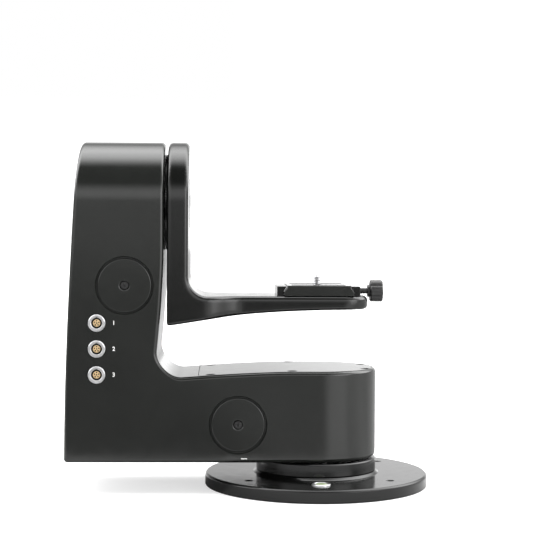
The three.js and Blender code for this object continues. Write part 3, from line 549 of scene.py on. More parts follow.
INK = soft_coat("print_ink", (0.86, 0.86, 0.84), (0.95, 0.95, 0.93), (0.5,), 0.4, (0.45, 0.6),
                0.2, 0.01)
DEEP_BLACK = dark_coat("deep_black", (0.0034, 0.0037, 0.0033), 0.15, 0.2, 0.0012, 0.46)


# -------- finished pieces
def piece(name, made, body, slot, node=None, material=None):
    """Names a shape, gives it its finish and shading, and makes it ride on its CAD body. It
    replaces a CAD node, or adds to what the CAD shows."""
    made.name = name
    mesh = made.data
    mesh.name = name
    mesh.materials.clear()
    mesh.materials.append(material or FINISHES[slot])
    mesh.polygons.foreach_set("use_smooth", [True] * len(mesh.polygons))
    mesh.set_sharp_from_angle(angle=radians(SHARP_ANGLE))
    normals = made.modifiers.new("even_normals", "WEIGHTED_NORMAL")
    normals.keep_sharp = True
    normals.mode = "FACE_AREA_WITH_ANGLE"
    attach(made, body)
    if node:
        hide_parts(node)


# -------- housing
def upright(inset, edge):
    """The upright of the housing, half round at its top about the tilt axis."""
    def outline(more):
        half = HEAD_R - inset - more
        corner = max(edge - more, 0)
        bottom = HEAD_BOTTOM + inset + more
        points = arc((bottom + corner, half - corner), corner, 180, 90, EDGE_STEPS)
        points += [(z, half) for z in np.linspace(bottom + corner, TILT_Z, 26)[1:-1]]
        return mirrored(points + arc((TILT_Z, 0), half, 90, 0, 32))
    return prism(outline, lambda z, y: head_left(z) + inset, lambda z, y: head_right(z) - inset,
                 edge, "left", ladder=True)


def foot(inset, top, edge, left):
    """The foot of the housing, half round about the pan axis. Its top follows foot_top."""
    def outline(more):
        half = HEAD_R - inset - more
        points = [(x, half) for x in np.linspace(left, 0, 22)[:-1]]
        return mirrored(points + arc((0, 0), half, 90, 0, 32))
    return prism(outline, lambda x, y: HEAD_BOTTOM + inset, lambda x, y: top + foot_top(x) - HEAD_TOP,
                 edge, "+z", ladder=True)


def inside_corner():
    """Fills the corner between upright and foot up to its hollow, which runs on smoothly into
    both."""
    foot_x = -105.4
    wall_z = foot_top(foot_x) + 1.15 * HEAD_CORNER_R
    buried_x, buried_z = head_right(wall_z) - 10, foot_top(foot_x) - 6
    wall_slope = (head_right(wall_z + 1) - head_right(wall_z - 1)) / 2
    foot_slope = (foot_top(foot_x + 1) - foot_top(foot_x - 1)) / 2
    pull = 0.55 * HEAD_CORNER_R

    def outline(inset):
        start = (foot_x, foot_top(foot_x) - inset)
        end = (head_right(wall_z) - inset, wall_z)
        hollow = bezier(start, (start[0] - pull, start[1] - pull * foot_slope),
                        (end[0] - pull * wall_slope, end[1] - pull), end, 20)
        return [(buried_x, buried_z), (foot_x, buried_z), *hollow, (buried_x, wall_z)]
    return slab(outline, -HEAD_R, HEAD_R, "front", HEAD_EDGE)


def cover_outline(inset):
    """The top cover in plan: half round about the pan axis, with small corners at the left."""
    half = HEAD_R - COVER_INSET - inset
    left = COVER_LOW.x + inset
    corner = max(COVER_CORNER_R - inset, 1)
    points = arc((left + corner, half - corner), corner, 180, 90, EDGE_STEPS)
    points += [(x, half) for x in np.linspace(left + corner, 0, 16)[1:-1]]
    return mirrored(points + arc((0, 0), half, 90, 0, 32))


def cover_slab(inset, low, high, edge=0.0):
    return prism(lambda more: cover_outline(inset + more),
                 lambda x, y: low + foot_top(x) - HEAD_TOP, lambda x, y: high + foot_top(x) - HEAD_TOP,
                 edge, "+z", ladder=True)


def on_wall(place):
    """Where an axis through the front or back of the housing starts."""
    return (place.x, 0, place.z)


def access_hole(place):
    """A stepped hole with a chamfered mouth."""
    mouth = ACCESS_R + 0.9
    bore = ACCESS_R - ACCESS_RIM + GAP
    profile = [(0, -10), (bore, -10), (bore, -2.8), (ACCESS_R, -2.8), (ACCESS_R, -1.1), (mouth, 0.1),
               (mouth, 2), (0, 2)]
    return lathe(raised(HEAD_R, profile), "-y", on_wall(place), FINE_STEPS)


def rear_outline(extra, radius):
    return lambda inset: rounded_rectangle(
        REAR_LOW.x - extra + inset, REAR_HIGH.x + extra - inset,
        REAR_LOW.z - extra + inset, REAR_HIGH.z + extra - inset, max(radius - inset, 0.5))


def housing_rooms():
    """The rooms inside the upright and inside the foot, with the ledge round the foot's cover."""
    behind = HEAD_R - REAR_WALL
    reach = block((FAR_LEFT, FAR_FRONT, 0), (ROOM_RIGHT, behind, FAR_UP))
    room = overlap(upright(WALL, 0), reach)
    reach = block((-160, FAR_FRONT, 0), (CELLAR_RIGHT, behind, FAR_UP))
    cellar = overlap(foot(WALL, HEAD_TOP - CELLAR_DEPTH, 0, CELLAR_LEFT), reach)
    return room, cellar, cover_slab(COVER_LEDGE, 70, HEAD_TOP + 3)


def housing_shell():
    shell = join(upright(0, HEAD_EDGE), foot(0, HEAD_TOP, HEAD_EDGE, FOOT_LEFT), inside_corner())
    shell = cut(shell, *housing_rooms())
    tilt_boss = disc(TILT_BOSS_R, TILT_BOSS_LEFT, HEAD_INNER - 1, "+x", TILT_AXIS, FINE_STEPS)
    pan_boss = disc(PAN_BOSS_R, HEAD_BOTTOM + 1, PAN_BOSS_TOP, steps=FINE_STEPS)
    shell = join(shell, tilt_boss, pan_boss)
    tilt_bore = lathe(stepped(-150, (TILT_SEAT_R, TILT_SEAT_RIGHT), (TILT_BORE_R, -110)),
                      "+x", TILT_AXIS, FINE_STEPS)
    pan_bore = lathe(stepped(20, (PAN_BORE_R, PAN_SEAT_BOTTOM), (PAN_SEAT_R, 60)), steps=FINE_STEPS)
    rebate = cover_slab(-GAP, HEAD_TOP - COVER_T - GAP, HEAD_TOP + 3)
    shell = cut(shell, tilt_bore, pan_bore, rebate)
    shell = cut(shell, *(access_hole(middle(f"access_cover_{level}")) for level in LEVELS))
    socket_holes = [disc(SOCKET_BARREL_R + GAP, 37, 50, "-y", on_wall(middle(f"lens_socket_shell_{i}")))
                    for i in SOCKETS]
    recess = slab(rear_outline(GAP, 6), REAR_LOW.y - GAP, HEAD_R + 2, "front")
    hatch = slab(rear_outline(-7, 4), HEAD_R - REAR_WALL - 2, HEAD_R + 1, "front")
    return cut(shell, *socket_holes, recess, hatch)


def screw(end, length, head, way, at, soft, drive, depth):
    """A screw whose head ends at that height, with a hexagon socket of that width and depth. Its
    head is given from the shank on, as radii and heights above its end."""
    profile = raised(end, [(0, -length), (SHANK_R, -length), *head, (0, 0)])
    socket = disc(drive / sqrt(3), end - depth, end + 1, way, at, 6)
    return cut(lathe(profile, way, at, soft=soft), socket)


def top_screw(place):
    """A button head screw, sunk a little below the cover."""
    head = [(SHANK_R, -2.7), (3.2, -2.7), (3.2, -0.7), (2.3, -0.05)]
    return screw(foot_top(place.x) - 0.5, 7.5, head, "+z", (place.x, place.y, 0), 0.35, 2.5, 1.5)


def rear_screw(place):
    head = [(SHANK_R, -1.7), (2.7, -0.4), (2.7, 0)]
    return screw(HEAD_R - 0.3, 6, head, "+y", on_wall(place), 0.12, 2, 1.2)


def access_screw(place):
    head = [(SHANK_R, -1.7), (3.1, -1.7), (3.1, -0.4), (2.7, 0)]
    return screw(HEAD_R - 0.4, 6.5, head, "-y", on_wall(place), 0.15, 2.6, 1.3)


def top_cover():
    cover = cover_slab(0, HEAD_TOP - COVER_T, HEAD_TOP, 0.45)
    holes = []
    for i in COVER_SCREWS:
        place = middle(f"top_cover_screw_{i}")
        profile = [(0, -6), (3.5, -6), (3.5, -0.35), (4, 0.1), (4, 2), (0, 2)]
        holes.append(lathe(raised(foot_top(place.x), profile), at=(place.x, place.y, 0)))
    return cut(cover, *holes)


def rear_cover():
    cover = slab(rear_outline(0, 5.7), REAR_LOW.y, HEAD_R, "front", 0.5)
    tools = []
    for i in REAR_SCREWS:
        profile = [(0, REAR_INSIDE), (1.8, REAR_INSIDE),
                   *raised(HEAD_R, [(1.8, -1.9), (3, -0.5), (3, 1), (0, 1)])]
        tools.append(lathe(profile, "+y", on_wall(middle(f"rear_cover_screw_{i}"))))
    tools.append(disc(7.3, REAR_INSIDE, REAR_OUTSIDE, "+y", on_wall(middle("power_inlet"))))
    switch_x = middle("power_rocker").x
    tools.append(block((switch_x - SWITCH_HALF, REAR_INSIDE, SWITCH_BOTTOM),
                       (switch_x + SWITCH_HALF, REAR_OUTSIDE, SWITCH_TOP), 0.4))
    return cut(cover, *tools)


def access_cover(place):
    """A round lid with a chamfered rim and a recess for its screw."""
    rim = ACCESS_R - 0.9
    plug = ACCESS_R - ACCESS_RIM - 0.4
    profile = [(1.9, -4), (plug, -4), (plug, -2.5), (rim, -2.5), (rim, -0.8), (rim - 0.8, 0), (4.2, 0),
               (3.5, -0.7), (3.5, -2.4), (1.9, -2.4)]
    return lathe(raised(HEAD_R, profile), "-y", on_wall(place), FINE_STEPS, 0.35)


def socket_shell(place):
    """The plated ring of a lens socket, with a key slot at the top of its bore and two notches."""
    face = HEAD_R + GAP
    ring = [(SOCKET_BARREL_R, 0), (SOCKET_R, 0), (SOCKET_R, 0.7), (SOCKET_R - 0.6, 1.3),
            (SOCKET_BORE_R + 0.5, 1.3), (SOCKET_BORE_R, 0.8)]
    body = lathe([(SOCKET_BORE_R, SOCKET_BACK), (SOCKET_BARREL_R, SOCKET_BACK), *raised(face, ring)],
                 "-y", on_wall(place), SMALL_STEPS * 2, 0.15)
    slot = block((place.x - 0.7, -face - 3, place.z + 3), (place.x + 0.7, -face + 4, place.z + 4.9), 0.1)
    notches = []
    for side in (-1, 1):
        notch_x = place.x + side * (SOCKET_R - 0.3)
        notches.append(block((notch_x - 0.5, -face - 2, place.z - 0.9),
                             (notch_x + 0.5, -face - 0.6, place.z + 0.9), 0.1))
    return cut(body, slot, *notches)


def socket_sleeve(place):
    """The insulator that holds the contact plate."""
    rim = SLEEVE_R + 0.2
    cup = raised(HEAD_R, [(SLEEVE_R, 0), (rim, 0), (rim, 0.9), (2.95, 0.9), (2.95, -1.6), (0, -1.6)])
    return lathe([(0, SLEEVE_BACK), (SLEEVE_R, SLEEVE_BACK), *cup], "-y", on_wall(place), soft=0.1)


def socket_contacts(place):
    """The gilded contact plate, with five holes round one in the middle."""
    start, end = HEAD_R - 1.5, HEAD_R + 0.5
    plate = disc(CONTACT_R, start, end, "-y", on_wall(place), soft=0.2)
    spots = [(0, 0)] + arc((0, 0), PIN_CIRCLE_R, 90, 378, 4)
    holes = [disc(PIN_HOLE_R, start - 1, end + 1, "-y", (place.x + x, 0, place.z + z), 16)
             for x, z in spots]
    return cut(plate, *holes)


def numeral(text, place):
    """A printed numeral beside a socket."""
    curve = bpy.data.curves.new("numeral", "FONT")
    curve.body = text
    curve.size = NUMERAL_SIZE * MM
    curve.extrude = 0.02 * MM
    curve.offset = 0.06 * MM
    curve.align_y = "CENTER"
    drawn = shown("numeral", curve)
    at = Vector((place.x + NUMERAL_SHIFT, -HEAD_R, place.z)) * MM
    drawn.matrix_world = Matrix.Translation(at) @ Matrix.Rotation(pi / 2, 4, "X")
    mesh = worked_out(drawn)
    mesh.transform(drawn.matrix_world)
    bpy.data.objects.remove(drawn)
    return shown("numeral", mesh)


def index_mark():
    """A short white line that marks the pan position."""
    return block((INDEX_X[0], -HEAD_R - 0.03, INDEX_Z[0]), (INDEX_X[1], -HEAD_R + 0.6, INDEX_Z[1]), 0.03)


def power_inlet():
    place = middle("power_inlet")
    rim = [(7, 0), (9.4, 0), (9.4, 1.4), (8.8, 2), (5.7, 2), (5.2, 1.5)]
    body = lathe([(0, 30), (7, 30), *raised(HEAD_R + GAP, rim), (5.2, 38), (0, 38)],
                 "+y", on_wall(place), SMALL_STEPS * 2, 0.2)
    pin = disc(1.2, 37, HEAD_R - 1, "+y", on_wall(place), TINY_STEPS, 0.5)
    return join(body, pin)


def rocker():
    """A rocker that lies tilted in its frame, with a hollow between its raised ends."""
    place = middle("power_rocker")
    pivot = joint_place("power_rocker_tilt")
    section = [(-5, -4), (-5, 4), (1.2, 6.3), (3.2, 6), (2.3, 3), (1.8, 0), (2.3, -3), (3.2, -6),
               (1.2, -6.3)]

    def outline(inset):
        shrink = 1 - inset / 8
        return softened([(a * shrink, b * shrink) for a, b in section], 0.5)
    body = slab(outline, -3.9, 3.9, "+x", 0.5)
    at = Vector((place.x, pivot.y, pivot.z)) * MM
    body.data.transform(Matrix.Translation(at) @ Matrix.Rotation(radians(SWITCH_TURN), 4, "X"))
    return body


# -------- base
def base_flange():
    inner, seat_z = BASE_COVER_R + GAP, NECK_LOW.z - GAP
    flange = lathe([
        (SPINDLE_BORE_R, BASE_COVER_T + GAP), (inner, BASE_COVER_T + GAP), (inner, 0), (BASE_R - 0.6, 0),
        (BASE_R, 0.6), (BASE_R, BASE_T - 1.3), (BASE_R - 1.3, BASE_T), (NECK_R + 2.2, BASE_T),
        (NECK_R + 0.9, NECK_LOW.z - 1.2), (NECK_R + 0.1, seat_z), (SPINDLE_BORE_R, seat_z),
    ], steps=FINE_STEPS * 2, soft=0.5)
    mouth = BASE_HOLE_R + 0.7
    chamfer = raised(BASE_T, [(BASE_HOLE_R, -0.6), (mouth, 0.1), (mouth, 2), (0, 2)])
    tools = []
    for angle in (BASE_HOLE_ANGLE, 180 - BASE_HOLE_ANGLE, 180 + BASE_HOLE_ANGLE, -BASE_HOLE_ANGLE):
        turn = radians(angle)
        at = (BASE_HOLE_CIRCLE_R * cos(turn), BASE_HOLE_CIRCLE_R * sin(turn), 0)
        tools.append(lathe([(0, -1), (BASE_HOLE_R, -1), *chamfer], at=at))
    level = middle("level_bezel")
    tools.append(disc(LEVEL_SEAT_R, BASE_T - 5, BASE_T + 2, at=(level.x, level.y, 0)))
    return cut(flange, *tools)


def base_cover():
    return disc(BASE_COVER_R, 0, BASE_COVER_T, steps=FINE_STEPS, soft=0.3)


def neck_collar():
    low, top = NECK_LOW.z, NECK_HIGH.z
    return lathe([
        (NECK_INNER_R, low), (NECK_R - 0.4, low), (NECK_R, low + 0.4), (NECK_R, top - 0.9),
        (NECK_R - 0.9, top), (NECK_BORE_R, top), (NECK_BORE_R, top - 2.4), (NECK_INNER_R, top - 2.4),
    ], steps=FINE_STEPS * 2, soft=0.3)


def level_bezel():
    """The level's metal ring, with the cup that holds its window."""
    place = middle("level_bezel")
    bottom = BASE_T - 4.7
    rim = raised(BASE_T, [(LEVEL_R, 0.6), (LEVEL_R - 0.6, 1.1), (5.5, 1.1), (LEVEL_BORE_R, 0.6)])
    return lathe([(0, bottom), (LEVEL_R, bottom), *rim, (LEVEL_BORE_R, bottom + 1.5), (0, bottom + 1.5)],
                 at=(place.x, place.y, 0), steps=SMALL_STEPS * 2, soft=0.15)


def level_vial():
    """A low dome with the circle that the bubble sits in."""
    place = middle("level_vial")
    bottom = BASE_T - 2.9
    dome = [(VIAL_R * cos(radians(a)), BASE_T + 0.6 + 0.9 * sin(radians(a))) for a in range(0, 70, 10)]
    circle = [(1.9, 1.44), (1.85, 1.36), (1.7, 1.36), (1.65, 1.45), (0, 1.5)]
    return lathe([(0, bottom), (VIAL_R, bottom), *dome, *raised(BASE_T, circle)],
                 at=(place.x, place.y, 0), steps=SMALL_STEPS * 2)


# -------- tilt assembly
def distance_to(outline, a, b):
    """Distance from points to a closed outline in its own plane, negative inside."""
    nearest = np.full(np.broadcast(a, b).shape, np.inf)
    inside = np.zeros(nearest.shape, bool)
    for (a0, b0), (a1, b1) in zip(outline, outline[1:] + outline[:1]):
        run, rise = a1 - a0, b1 - b0
        along = np.clip(((a - a0) * run + (b - b0) * rise) / (run * run + rise * rise), 0, 1)
        nearest = np.minimum(nearest, (a - a0 - along * run) ** 2 + (b - b0 - along * rise) ** 2)
        if b0 != b1:
            inside ^= ((b0 <= b) != (b1 <= b)) & (a < a0 + (b - b0) * run / rise)
    return np.where(inside, -1, 1) * np.sqrt(nearest)


def rounded_meeting(first, second, radius):
    """The common part of two fields, with the edge between them rounded."""
    a, b = first + radius, second + radius
    return np.minimum(np.maximum(a, b), 0) + np.hypot(np.maximum(a, 0), np.maximum(b, 0)) - radius


def arm_front():
    """The arm seen from the front, open at its top and at the end of its platform."""
    beyond_top, beyond_end = TILT_Z + ARM_R + 40, DECK_END + 20
    start = (ARM_LEFT + 2, ARM_BOTTOM + 0.1)
    underside = bezier(start, (-90, ARM_BOTTOM + 3.3), (-60, DECK_BOTTOM), (DECK_END, DECK_BOTTOM), 24)
    hollow = arc((ARM_RIGHT + DECK_CORNER_R, DECK_TOP + DECK_CORNER_R), DECK_CORNER_R, 270, 180, 20)
    return [(ARM_LEFT, beyond_top), (ARM_LEFT, ARM_BOTTOM + 2), (ARM_LEFT + 0.6, ARM_BOTTOM + 0.6),
            *underside, (beyond_end, DECK_BOTTOM), (beyond_end, DECK_TOP), *hollow,
            (ARM_RIGHT, beyond_top)]


def arm_plan():
    """The arm seen from above: the platform is narrower than the upright, with a round end."""
    wide_until, narrow_from = -94, -54
    bend = (wide_until + narrow_from) / 2
    side = bezier((wide_until, ARM_R), (bend, ARM_R), (bend, DECK_HALF), (narrow_from, DECK_HALF), 20)
    corner = arc((DECK_END - DECK_END_R, DECK_HALF - DECK_END_R), DECK_END_R, 90, 0, 12)
    return mirrored([(ARM_LEFT - 30, ARM_R), *side, *corner])


ARM_FRONT = arm_front()
ARM_PLAN = arm_plan()


def arm_field(x, y, z):
    """Below nil inside the arm and above it outside, in millimetres."""
    profile = distance_to(ARM_FRONT, x, z)
    side = np.hypot(y, np.maximum(z - TILT_Z, 0)) - ARM_R
    depth = np.maximum(side, distance_to(ARM_PLAN, x, y))
    return rounded_meeting(profile, depth, ARM_EDGE)


def surface_net(field, low, high, step):
    """A closed mesh of quads where the field changes sign, moved onto the surface itself."""
    axes = [np.arange(low[i], high[i] + step, step) for i in range(3)]
    inside = field(axes[0][:, None, None], axes[1][None, :, None], axes[2][None, None, :]) < 0
    cells = [size - 1 for size in inside.shape]
    filled = sum(inside[i:i + cells[0], j:j + cells[1], k:k + cells[2]].astype(int)
                 for i in (0, 1) for j in (0, 1) for k in (0, 1))
    mixed = (filled > 0) & (filled < 8)
    number = np.full(mixed.shape, -1)
    number[mixed] = np.arange(mixed.sum())
    where = np.argwhere(mixed)
    points = np.stack([axes[i][where[:, i]] + step / 2 for i in range(3)])
    for _ in range(4):
        points = onto_surface(field, points)
    faces = []
    for axis in range(3):
        near, far = [slice(None)] * 3, [slice(None)] * 3
        near[axis], far[axis] = slice(0, -1), slice(1, None)
        changes = np.argwhere(inside[tuple(near)] != inside[tuple(far)])
        one, two = np.zeros(3, int), np.zeros(3, int)
        one[(axis + 1) % 3] = 1
        two[(axis + 2) % 3] = 1
        quad = [number[tuple((changes - shift).T)] for shift in (0 * one, one, one + two, two)]
        faces.append(np.stack(quad, axis=1))
    return blank(points.T, np.concatenate(faces).tolist())


def onto_surface(field, points):
    """Moves points along the field's slope to where it is nil."""
    reach = 0.02
    value = field(*points)
    slope = np.zeros(points.shape)
    for i in range(3):
        shift = np.zeros((3, 1))
        shift[i] = reach
        slope[i] = (field(*(points + shift)) - field(*(points - shift))) / (2 * reach)
    return points - slope * value / np.maximum((slope ** 2).sum(0), 0.2)


def rail(side):
    """One side of the dovetail that the camera plate slides in."""
    def outline(inset):
        x0, x1 = RAIL_X + inset, RAIL_X + 5 - inset
        top = DECK_TOP + 7.5 - inset
        points = [(x0, DECK_TOP - 1), (x1, DECK_TOP - 1), (x1, top), (x0 - 2, top), (x0 - 2, top - 0.4),
                  (x0, DECK_TOP + 4)]
        return [(side * x, z) for x, z in points]
    return slab(outline, -26, 26, "front", 0.4)


def tilt_arm():
    low = (ARM_LEFT - 3, -ARM_R - 3, ARM_BOTTOM - 3)
    high = (DECK_END + 3, ARM_R + 3, TILT_Z + ARM_R + 3)
    arm = join(surface_net(arm_field, low, high, ARM_FACET), rail(-1), rail(1))
    shaft_bore = disc(SHAFT_HOLE_R, -125, -90, "+x", TILT_AXIS, FINE_STEPS)
    cap_seat = disc(CAP_SEAT_R, CAP_SEAT_LEFT, -90, "+x", TILT_AXIS, FINE_STEPS)
    knob_hole = disc(KNOB_HOLE_R, RAIL_X - 5, RAIL_X + 10, "+x", KNOB_AXIS)
    sensor_low, sensor_high = span("motion_sensor_cover")
    pocket = block((sensor_low.x - GAP, sensor_low.y - GAP, SENSOR_POCKET_BOTTOM),
                   (sensor_high.x + GAP, sensor_high.y + GAP, DECK_TOP - 4), 0.5)
    slot = slab(lambda inset: rounded_rectangle(-8, 8, -22, 22, 7.9),
                DECK_BOTTOM - 5, DECK_TOP + 1, "+z")
    return cut(arm, shaft_bore, cap_seat, knob_hole, pocket, slot)


def hub_flange():
    """A thin steel disc with fine teeth round its rim, for the tilt encoder."""
    rim = HUB_HIGH.z - TILT_Z

    def ripple(radius, height, angle):
        if radius < rim - 0.5:
            return radius
        return radius - 0.35 * (1 - cos(TEETH * angle))
    left, right = HUB_LOW.x, HUB_HIGH.x
    return lathe([(SHAFT_HOLE_R, left), (rim - 3, left), (rim - 0.4, left), (rim, left + 0.4),
                  (rim, right - 0.4), (rim - 0.4, right), (rim - 3, right), (SHAFT_HOLE_R, right)],
                 "+x", TILT_AXIS, TEETH * 4, ripple=ripple)


def shaft_cap():
    """A round cap with a raised rim and four pin holes."""
    low, high = span("shaft_cap")
    rim = high.y
    face = [(rim, -0.7), (rim - 0.7, 0), (8, 0), (7.4, -0.7), (0, -0.7)]
    cap = lathe([(0, low.x), (rim, low.x), *raised(high.x, face)], "+x", TILT_AXIS, FINE_STEPS, 0.3)
    holes = [disc(1.1, high.x - 1.5, high.x + 1, "+x", (0, y, TILT_Z + z), TINY_STEPS)
             for y, z in arc((0, 0), 13.5, 45, 315, 3)]
    return cut(cap, *holes)


def camera_plate():
    """A dovetail plate with a ribbed rubber pad on each side of its screw."""
    low, high = span("camera_plate")
    lip = high.x - 2.4

    def outline(inset):
        wide, narrow, top = high.x - inset, lip - inset, high.z - inset
        half = [(wide, low.z + inset), (wide, low.z + 3), (narrow, low.z + 6), (narrow, top)]
        return half + [(-x, z) for x, z in reversed(half)]
    plate = slab(outline, low.y, high.y, "front", 0.5)
    hole = lathe([(0, low.z - 1), (7.3, low.z - 1), (7.3, low.z + 4), (3.5, low.z + 4),
                  *raised(high.z, [(3.5, -0.4), (4, 0.1), (4, 2), (0, 2)])])
    pockets = [block((-PAD_HALF_LENGTH, side * PAD_Y - PAD_HALF, high.z - 0.8),
                     (PAD_HALF_LENGTH, side * PAD_Y + PAD_HALF, high.z + 3), 0.3) for side in (-1, 1)]
    return cut(plate, hole, *pockets)


def plate_pad(side):
    """A rubber pad let into the plate, level with its top, with grooves across."""
    top = span("camera_plate")[1].z
    centre = side * PAD_Y
    length, half = PAD_HALF_LENGTH - 0.2, PAD_HALF - 0.2
    pad = block((-length, centre - half, top - 0.7), (length, centre + half, top - 0.02), 0.15)
    grooves = [block((x - 0.35, centre - 8, top - 0.35), (x + 0.35, centre + 8, top + 1), 0.05)
               for x in range(-18, 19, 3)]
    return cut(pad, *grooves)


def camera_screw():
    """The camera screw: a slotted head under the plate and a threaded shank above it."""
    low, high = span("camera_screw")
    start, end = low.z + 3.3, high.z

    def ripple(radius, height, angle):
        if radius < 2.4 or height < start + 0.4 or height > end - 0.6:
            return radius
        phase = (height / THREAD_PITCH + angle / (2 * pi)) % 1
        return radius - THREAD_DEPTH * abs(2 * phase - 1)
    shank = [(THREAD_R, z) for z in np.arange(start + 0.3, end - 0.7, 0.12)]
    body = lathe([(0, low.z), (7, low.z), (7, start), (THREAD_R, start), *shank, (2.5, end - 0.5),
                  (2.3, end), (0, end)], ripple=ripple)
    return cut(body, block((-8, -0.7, low.z - 1), (8, 0.7, low.z + 1.2)))


def clamp_knob():
    """A lobed knob on a collar and a threaded stem."""
    low, high = span("clamp_knob")
    face = high.x - 10

    def lobes(radius, height, angle):
        if radius < 6 or height < face:
            return radius
        return radius - 0.45 + 0.9 * abs(cos(3 * angle)) ** 0.6
    end = raised(high.x, [(8.6, -1), (7.8, 0), (4.4, 0), (3.9, -0.6), (0, -0.6)])
    head = lathe([(0, face), (7.9, face), (8.6, face + 0.7), *end], "+x", KNOB_AXIS, SMALL_STEPS * 3,
                 0.3, lobes)
    stem = disc(2.4, low.x, face + 1, "+x", KNOB_AXIS, TINY_STEPS, 0.4)
    collar = disc(5, face - 2, face + 1, "+x", KNOB_AXIS, SMALL_STEPS, 0.3)
    return join(head, stem, collar)


def sensor_cover():
    """A flat lid with a screw hole near each corner."""
    low, high = span("motion_sensor_cover")
    holes = [disc(1.2, low.z - 1, low.z + 0.9, at=(x, y, 0), steps=TINY_STEPS)
             for x in (low.x + 3, high.x - 3) for y in (low.y + 3, high.y - 3)]
    return cut(block(low, high, 0.5), *holes)


# -------- assembly
def build_housing():
    body = "pan_housing"
    piece("housing_shell", housing_shell(), body, BLACK, "l_housing")
    piece("foot_cover", top_cover(), body, BLACK, "top_cover")
    piece("back_cover", rear_cover(), body, BLACK, "rear_cover")
    for i in COVER_SCREWS:
        node = f"top_cover_screw_{i}"
        piece(f"foot_cover_screw_{i}", top_screw(middle(node)), body, "black_screw", node)
    for i in REAR_SCREWS:
        node = f"rear_cover_screw_{i}"
        piece(f"back_cover_screw_{i}", rear_screw(middle(node)), body, "black_screw", node)
    for level in LEVELS:
        node = f"access_cover_{level}"
        place = middle(node)
        piece(f"access_lid_{level}", access_cover(place), body, BLACK, node)
        node = f"access_screw_{level}"
        piece(f"access_lid_screw_{level}", access_screw(place), body, "black_screw", node)
    for i in SOCKETS:
        node = f"lens_socket_shell_{i}"
        place = middle(node)
        piece(f"socket_ring_{i}", socket_shell(place), body, "bright_chrome", node)
        node = f"lens_socket_insert_{i}"
        piece(f"socket_core_{i}", socket_contacts(place), body, "gold_contact", node)
        piece(f"socket_sleeve_{i}", socket_sleeve(place), body, "black_plastic", material=DEEP_BLACK)
        piece(f"socket_number_{i}", numeral(str(i), place), body, BLACK, material=INK)
    piece("index_mark", index_mark(), body, BLACK, material=INK)
    piece("power_socket", power_inlet(), body, "bright_chrome", "power_inlet")
    piece("power_switch", rocker(), "rocker", "black_plastic", "power_rocker")


def build_base():
    body = "base"
    piece("mounting_flange", base_flange(), body, "black_steel", "base_flange")
    piece("flange_lid", base_cover(), body, "plain_aluminium", "base_cover")
    piece("neck_ring", neck_collar(), body, "black_steel", "neck_collar")
    piece("level_ring", level_bezel(), body, "bright_chrome", "level_bezel")
    piece("level_window", level_vial(), body, "level_liquid", "level_vial")


def build_tilt():
    body = "tilt_frame"
    piece("swing_arm", tilt_arm(), body, BLACK, "tilt_arm", DEEP_BLACK)
    piece("hub_disc", hub_flange(), body, "black_steel", "hub_flange")
    piece("hub_cap", shaft_cap(), body, BLACK, "shaft_cap")
    piece("sensor_lid", sensor_cover(), body, BLACK, "motion_sensor_cover")
    piece("slide_plate", camera_plate(), "plate", BLACK, "camera_plate")
    for side, name in ((-1, "front"), (1, "back")):
        piece(f"plate_pad_{name}", plate_pad(side), "plate", "belt_rubber")
    piece("tripod_screw", camera_screw(), "screw", "steel", "camera_screw")
    piece("lock_knob", clamp_knob(), "knob", "black_plastic", "clamp_knob")


def finish_inner_nodes():
    """Gives every CAD node that still shows its finish from the record."""
    for part in frame["record"]["subparts"]:
        node = frame["nodes"][part["node"]]
        if not node.hide_render:
            node.data.materials.clear()
            node.data.materials.append(FINISHES[part["material_slot"]])


# -------- floor, light and camera
def stage_object(name, made, nodes):
    """Names an object and covers it with a material."""
    made.name = name
    made.data.materials.append(nodes.material)


def plain_floor():
    """A matt floor. It glows for the camera alone, so that it looks as white as the photo's."""
    size = 30 / MM
    corners = [(-size, -size, 0), (size, -size, 0), (size, size, 0), (-size, size, 0)]
    nodes = Nodes("pale_floor")
    nodes.feed("Base Color", (0.55, 0.55, 0.55, 1))
    nodes.feed("Roughness", 0.9)
    nodes.feed("Specular IOR Level", 0.0)
    nodes.feed("Emission Color", (1, 1, 1, 1))
    seen = nodes.add("LightPath", {}).outputs["Is Camera Ray"]
    nodes.feed("Emission Strength", nodes.ramp(seen, 0, 1, 0, 0.6))
    stage_object("floor", blank(corners, [(0, 1, 2, 3)]), nodes)


def dark_cloth():
    """A dark card on the floor round the object, seen only in the object's reflections. Its tone,
    a painted reflection, changes with the heading from the pan axis."""
    inner, front, back, outer, height = 100, -200, 250, 14000, 2
    corners, faces = [], []
    for left, right, near, far in ((-outer, outer, -outer, front), (inner, outer, front, outer),
                                   (-outer, inner, back, outer)):
        faces.append(tuple(range(len(corners), len(corners) + 4)))
        corners += [(x, y, height) for x, y in ((left, near), (right, near), (right, far), (left, far))]
    reflection_card = blank(corners, faces)
    # Hidden from the camera, from bounced light and from shadows: the card shows only as painted reflection.
    reflection_card.visible_camera = reflection_card.visible_diffuse = reflection_card.visible_shadow = False
    nodes = Nodes("dark_cloth")
    place = nodes.add("SeparateXYZ", {0: nodes.place})
    heading = nodes.heading(place.outputs["X"], place.outputs["Y"])
    ramp, product = nodes.ramp, nodes.product
    close = ramp(place.outputs["Y"], -1.7, -0.9)
    # Painted reflection: darkest in front and at the left, lighter towards the right front, darker again further
    # round, lighter behind at the left, and a painted bright strip far off at the right front.
    nodes.feed("Base Color", nodes.total(
        product(ramp(heading, -13, -4, 0, 0.1), close),
        ramp(heading, 6, 26, 0.05, 0.4),
        ramp(heading, 46, 62, 0, -0.16),
        ramp(heading, 84, 108, 0, -0.13),
        ramp(heading, 135, 170, 0, 0.02),
        ramp(heading, -150, -110, 0.23, 0),
        product(nodes.value("SUBTRACT", 1, close), ramp(heading, 28, 42),
                ramp(heading, 60, 74, 1, 0), 0.6),
    ))
    nodes.feed("Roughness", 0.9)
    stage_object("dark_cloth", reflection_card, nodes)


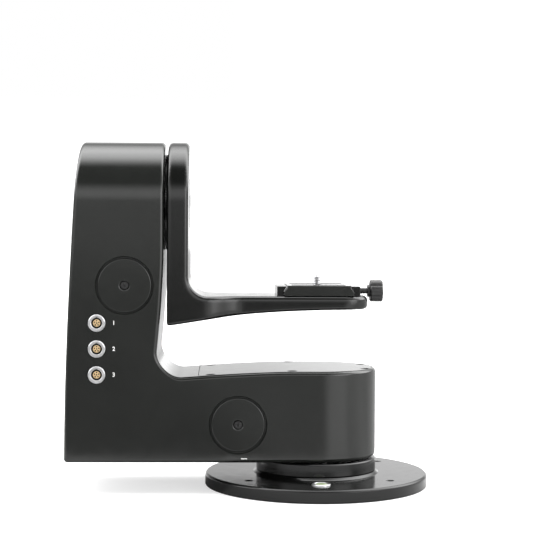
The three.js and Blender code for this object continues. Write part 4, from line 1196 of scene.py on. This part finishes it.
def studio_walls():
    """A white room with a wide lamp in its ceiling and an upright strip of light at the right.
    It is dim in front of the object, where the photographer stands."""
    world = bpy.data.worlds.new("studio")
    bpy.context.scene.world = world
    world.use_nodes = True
    nodes = NodeTree(world.node_tree)
    nodes.tree.nodes.clear()
    ramp, product = nodes.ramp, nodes.product
    around = nodes.add("TexCoord", {}).outputs["Generated"]
    direction = nodes.add("SeparateXYZ", {0: around})
    aside, behind, above = (direction.outputs[axis] for axis in "XYZ")
    heading = nodes.heading(aside, behind)
    walls = product(ramp(behind, 0.8, 0.98, 0.62, 1.25), ramp(above, 0.03, 0.1, 1.35, 0.88),
                    ramp(aside, -0.01, 0.13, 0.9, 1.2))
    dim = product(ramp(behind, -0.4, 0.0, 1, 0), ramp(nodes.value("ABSOLUTE", aside), 0.24, 0.46, 1, 0))
    room = product(walls, nodes.value("SUBTRACT", 1, product(dim, 0.75)))
    lamp = product(ramp(behind, -0.38, 0.14), ramp(behind, 0.3, 0.87, 1, 0), ramp(above, 0.1, 0.35), 6.0)
    band = product(ramp(above, -0.11, 0.25), ramp(above, 0.3, 0.62, 1, 0),
                   ramp(behind, -0.5, -0.1, 1, 0), 1.7)
    strip = product(ramp(heading, 24, 40), ramp(heading, 60, 74, 1, 0), ramp(above, 0.3, 0.5, 1, 0), 2.4)
    seen = nodes.add("LightPath", {}).outputs["Is Camera Ray"]
    strength = nodes.value("MAXIMUM", nodes.total(room, lamp, band, strip), seen)
    background = nodes.add("Background", {"Color": (1, 1, 1, 1), "Strength": strength})
    nodes.add("OutputWorld", {0: background.outputs[0]})


def camera():
    """Where the photograph was taken from, and its lens."""
    yaw, pitch, roll = 0.0303, 0.0246, 0.0049
    place = Vector((-0.07365, -1.1096, 0.2000))
    forward = Vector((sin(yaw) * cos(pitch), cos(yaw) * cos(pitch), -sin(pitch)))
    level = Vector((cos(yaw), -sin(yaw), 0))
    up = level.cross(forward)
    right = level * cos(roll) + up * sin(roll)
    lens = bpy.data.cameras.new("camera")
    lens.sensor_width = 36
    lens.lens = 94.44
    holder = shown("camera", lens)
    holder.matrix_world = Matrix.Translation(place) @ Matrix(
        (right, right.cross(forward), -forward)).transposed().to_4x4()
    bpy.context.scene.camera = holder


def build_stage():
    plain_floor()
    studio_walls()
    dark_cloth()
    bpy.context.scene.view_settings.view_transform = "Standard"


camera()
build_housing()
build_base()
build_tilt()
finish_inner_nodes()
build_stage()
